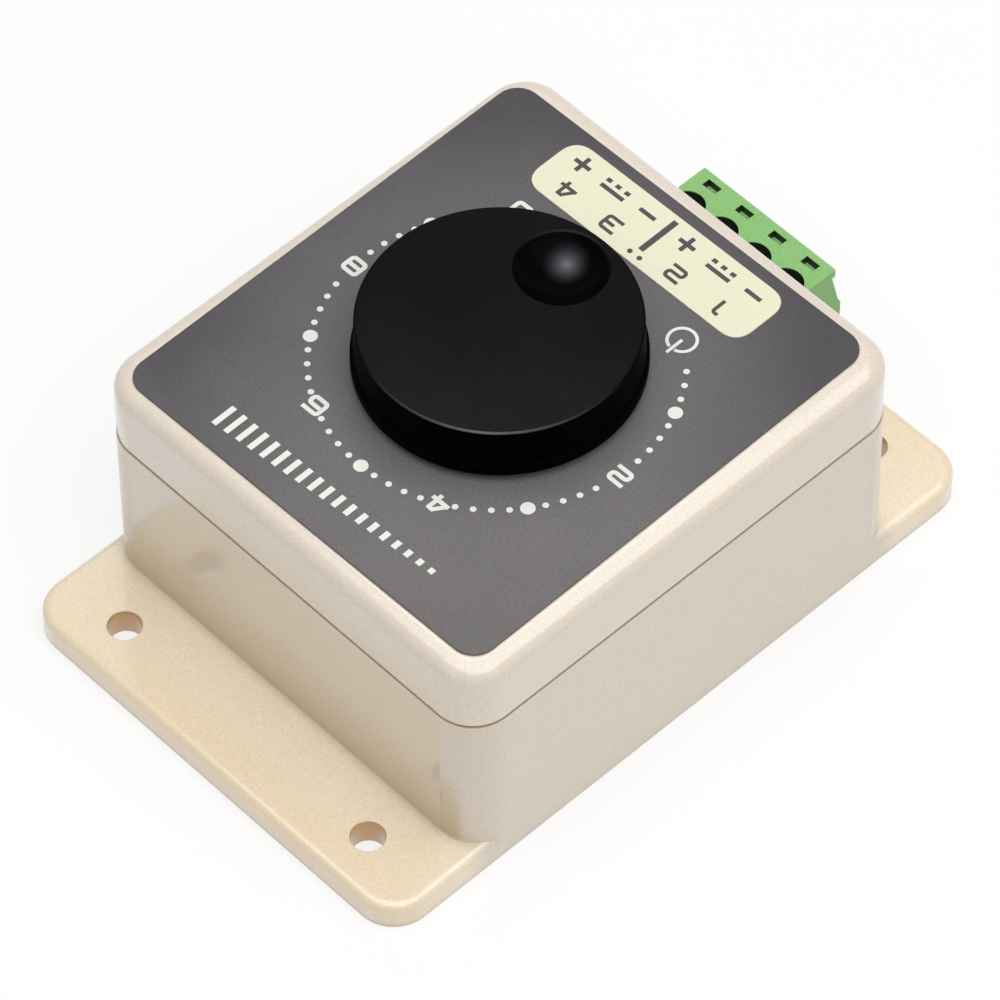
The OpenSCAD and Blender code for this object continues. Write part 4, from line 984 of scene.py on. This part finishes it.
# The face, wall and skirt, and from the foot up the hollow with the hub and its bore.
skin_rings = [ring(knob, 0, 0, r, z) for r, z in bevel_outline()]
bridge(knob, bowl_rings[-1], skin_rings[0])
for upper_ring, lower_ring in zip(skin_rings, skin_rings[1:]):
    bridge(knob, upper_ring, lower_ring)
hollow_top = top - DIMPLE_DEPTH - BOWL_WALL
hub_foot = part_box("pot_bushing")[1].z + HUB_LIFT
bore_top = top - KNOB_ROOF
inner_outline = [(KNOB_WALL_RADIUS - KNOB_WALL, knob_low.z), (KNOB_WALL_RADIUS - KNOB_WALL, hollow_top),
    (HUB_RADIUS, hollow_top), (HUB_RADIUS, hub_foot), (BORE_RADIUS, hub_foot), (BORE_RADIUS, bore_top)]
inner_rings = [ring(knob, 0, 0, r, z) for r, z in inner_outline]
bridge(knob, skin_rings[-1], inner_rings[0])
for outer_ring, inner_ring in zip(inner_rings, inner_rings[1:]):
    bridge(knob, outer_ring, inner_ring)
knob.faces.new(inner_rings[-1])

# The ribs, which run a little way into hub and wall.
for n in range(RIBS):
    turn = Matrix.Rotation(2 * pi * n / RIBS + DIMPLE_TURN, 4, "Z")
    rib = bmesh.ops.create_cube(knob, size=1)["verts"]
    start, end = HUB_RADIUS - RIB_THICKNESS, KNOB_WALL_RADIUS - KNOB_WALL / 2
    for v in rib:
        v.co = turn @ Vector(((start + end) / 2 + v.co.x * (end - start), v.co.y * RIB_THICKNESS,
            (hub_foot + hollow_top) / 2 + v.co.z * (hollow_top - hub_foot)))

# Smooth faces with sharp edges where they turn, then the finish of each part of the knob.
bmesh.ops.recalc_face_normals(knob, faces=knob.faces)
for face in knob.faces:
    face.smooth = True
for edge in knob.edges:
    if len(edge.link_faces) == 2 and edge.calc_face_angle(0) > SHARP_TURN:
        edge.smooth = False
dial_knob = lay_down("dial_knob", knob, KNOB_LOOK, body="knob")
for other in (SIDE_LOOK, BOWL_LOOK, RIM_LOOK, LIP_LOOK):
    dial_knob.data.materials.append(other)
SIDE, BOWL, RIM, LIP = 1, 2, 3, 4
for face in dial_knob.data.polygons:
    middle = face.center
    from_axis = sqrt(middle.x ** 2 + middle.y ** 2)
    from_dimple = sqrt((middle.x - dimple_x) ** 2 + (middle.y - dimple_y) ** 2)
    if middle.z < top - KNOB_EDGE:
        face.material_index = SIDE
    elif from_axis > KNOB_TOP_RADIUS - KNOB_EDGE and from_dimple > DIMPLE_RADIUS:
        face.material_index = RIM
    if from_dimple < bowl_reach and middle.z > hollow_top:
        face.material_index = BOWL
    elif from_dimple < bowl_reach + DIMPLE_LIP_WIDTH and middle.z > top - DIMPLE_DEPTH:
        face.material_index = LIP
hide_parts("knob")


# The plug. A block of green polyamide, moulded in one piece: four screw wells, four narrow test
# pockets with a step inside, and the wire entries in its end face. It pushes onto the header.
WELL_SHADOW_COLOUR = (0.006, 0.012, 0.005, 1)
# Lighter than the plug's own green: painted light, since little light gets down into the pockets.
POCKET_STEP_LIT_COLOUR = (0.29, 0.56, 0.21, 1)
POLES = 4
POLE_PITCH = 5.08 * MM
PLUG_LIP_IN = 1.05 * MM
WELL_SETBACK = 5.25 * MM
WELL_RADIUS = 2.1 * MM
WELL_FADE = 0.16 * MM
POCKET_SETBACK = 1.4 * MM
POCKET_WIDTH, POCKET_LENGTH = 2.0 * MM, 1.1 * MM
POCKET_STEP_DEPTH, POCKET_STEP_THICKNESS = 1.15 * MM, 0.25 * MM
STEP_BEVEL, STEP_SINK = 0.15 * MM, 0.05 * MM
MASK_EDGE = 0.05 * MM
plug_low, plug_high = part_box("plug_housing")
plug_lip = plug_low.y + PLUG_LIP_IN
well_y, pocket_y = plug_lip + WELL_SETBACK, plug_lip + POCKET_SETBACK


def within(group, value, middle, reach):
    """1 where a coordinate lies less than reach from the middle, 0 past it."""
    off = add(group, "Math", {0: value, 1: middle}, operation="SUBTRACT")
    away = add(group, "Math", {0: off.outputs[0]}, operation="ABSOLUTE")
    return add(group, "MapRange", {"Value": away.outputs[0]}, from_min=reach + MASK_EDGE,
        from_max=reach).outputs[0]


def well_shadow_group():
    """Where the light hardly reaches: down in the round wells and in the narrow pockets of each pole."""
    group, given, out = group_of("well_shadow", [("Fade", "Float", WELL_FADE)], [("Shadow", "Float")])
    place = place_in(group)
    turns = add(group, "Math", {0: place.outputs["X"], 1: POLE_PITCH}, operation="DIVIDE")
    along = add(group, "Math", {0: turns.outputs[0]}, operation="FRACT")
    off = add(group, "Math", {0: along.outputs[0], 1: 0.5}, operation="SUBTRACT")
    across = times(group, off.outputs[0], POLE_PITCH)
    flat = add(group, "CombineXYZ", {"X": across, "Y": place.outputs["Y"]})
    from_well = add(group, "VectorMath", {0: flat.outputs[0], 1: (0, well_y, 0)},
        operation="DISTANCE")
    in_well = within(group, from_well.outputs["Value"], 0, WELL_RADIUS)
    pocket_x = within(group, across, 0, POCKET_WIDTH / 2)
    pocket_run = within(group, place.outputs["Y"], pocket_y, POCKET_LENGTH / 2)
    in_pocket = times(group, pocket_x, pocket_run)
    hole = add(group, "Math", {0: in_well, 1: in_pocket}, operation="MAXIMUM")
    down = add(group, "Math", {0: plug_high.z, 1: place.outputs["Z"]}, operation="SUBTRACT")
    depth = add(group, "MapRange", {"Value": down.outputs[0], "From Max": given.outputs["Fade"]},
        from_min=MASK_EDGE)
    group.links.new(times(group, hole.outputs[0], depth.outputs[0]), out.inputs["Shadow"])
    return group


WELL_SHADOW = well_shadow_group()
TERMINAL_LOOK = look("terminal_plastic", TERMINAL_COLOUR, roughness=0.46, grain_size=0.30 * MM,
    grain_depth=0.012 * MM, fleck=0.06, edge=1.12, shadow_colour=WELL_SHADOW_COLOUR,
    hazes=[(WELL_SHADOW, WELL_SHADOW_COLOUR)])
soften(dress("plug_housing", TERMINAL_LOOK), BLOCK_EDGE)

STEP_LOOK = look("pocket_step", POCKET_STEP_LIT_COLOUR, roughness=0.50, grain_size=0.30 * MM,
    grain_depth=0.010 * MM, mottle=0.08)
steps = bmesh.new()
for n in range(POLES):
    pole_x = (n - (POLES - 1) / 2) * POLE_PITCH
    step = bmesh.ops.create_cube(steps, size=1)["verts"]
    for v in step:
        v.co = Vector((pole_x + v.co.x * (POCKET_WIDTH + MASK_EDGE), pocket_y + v.co.y * (POCKET_LENGTH
            + MASK_EDGE), plug_high.z - POCKET_STEP_DEPTH + (v.co.z - 0.5) * POCKET_STEP_THICKNESS))
step_faces = [face for face in steps.faces if face.normal.z > 0.5]
bmesh.ops.inset_individual(steps, faces=step_faces, thickness=STEP_BEVEL, depth=-STEP_SINK)
lay_down("pocket_steps", steps, STEP_LOOK, body="plug")


# The plug's metal parts. In each pole a zinc-plated slotted screw lifts a brass cage that clamps
# the wire under the contact bar, whose spring grips the header's pin.
for part in ("clamp_screw_1", "clamp_screw_2", "clamp_screw_3", "clamp_screw_4"):
    soften(dress(part, STEEL_LOOK), SMALL_EDGE)
for part in ("clamp_cage_1", "clamp_cage_2", "clamp_cage_3", "clamp_cage_4"):
    soften(dress(part, BRASS_LOOK), SCREW_EDGE)
dress("plug_contacts", BRASS_LOOK)
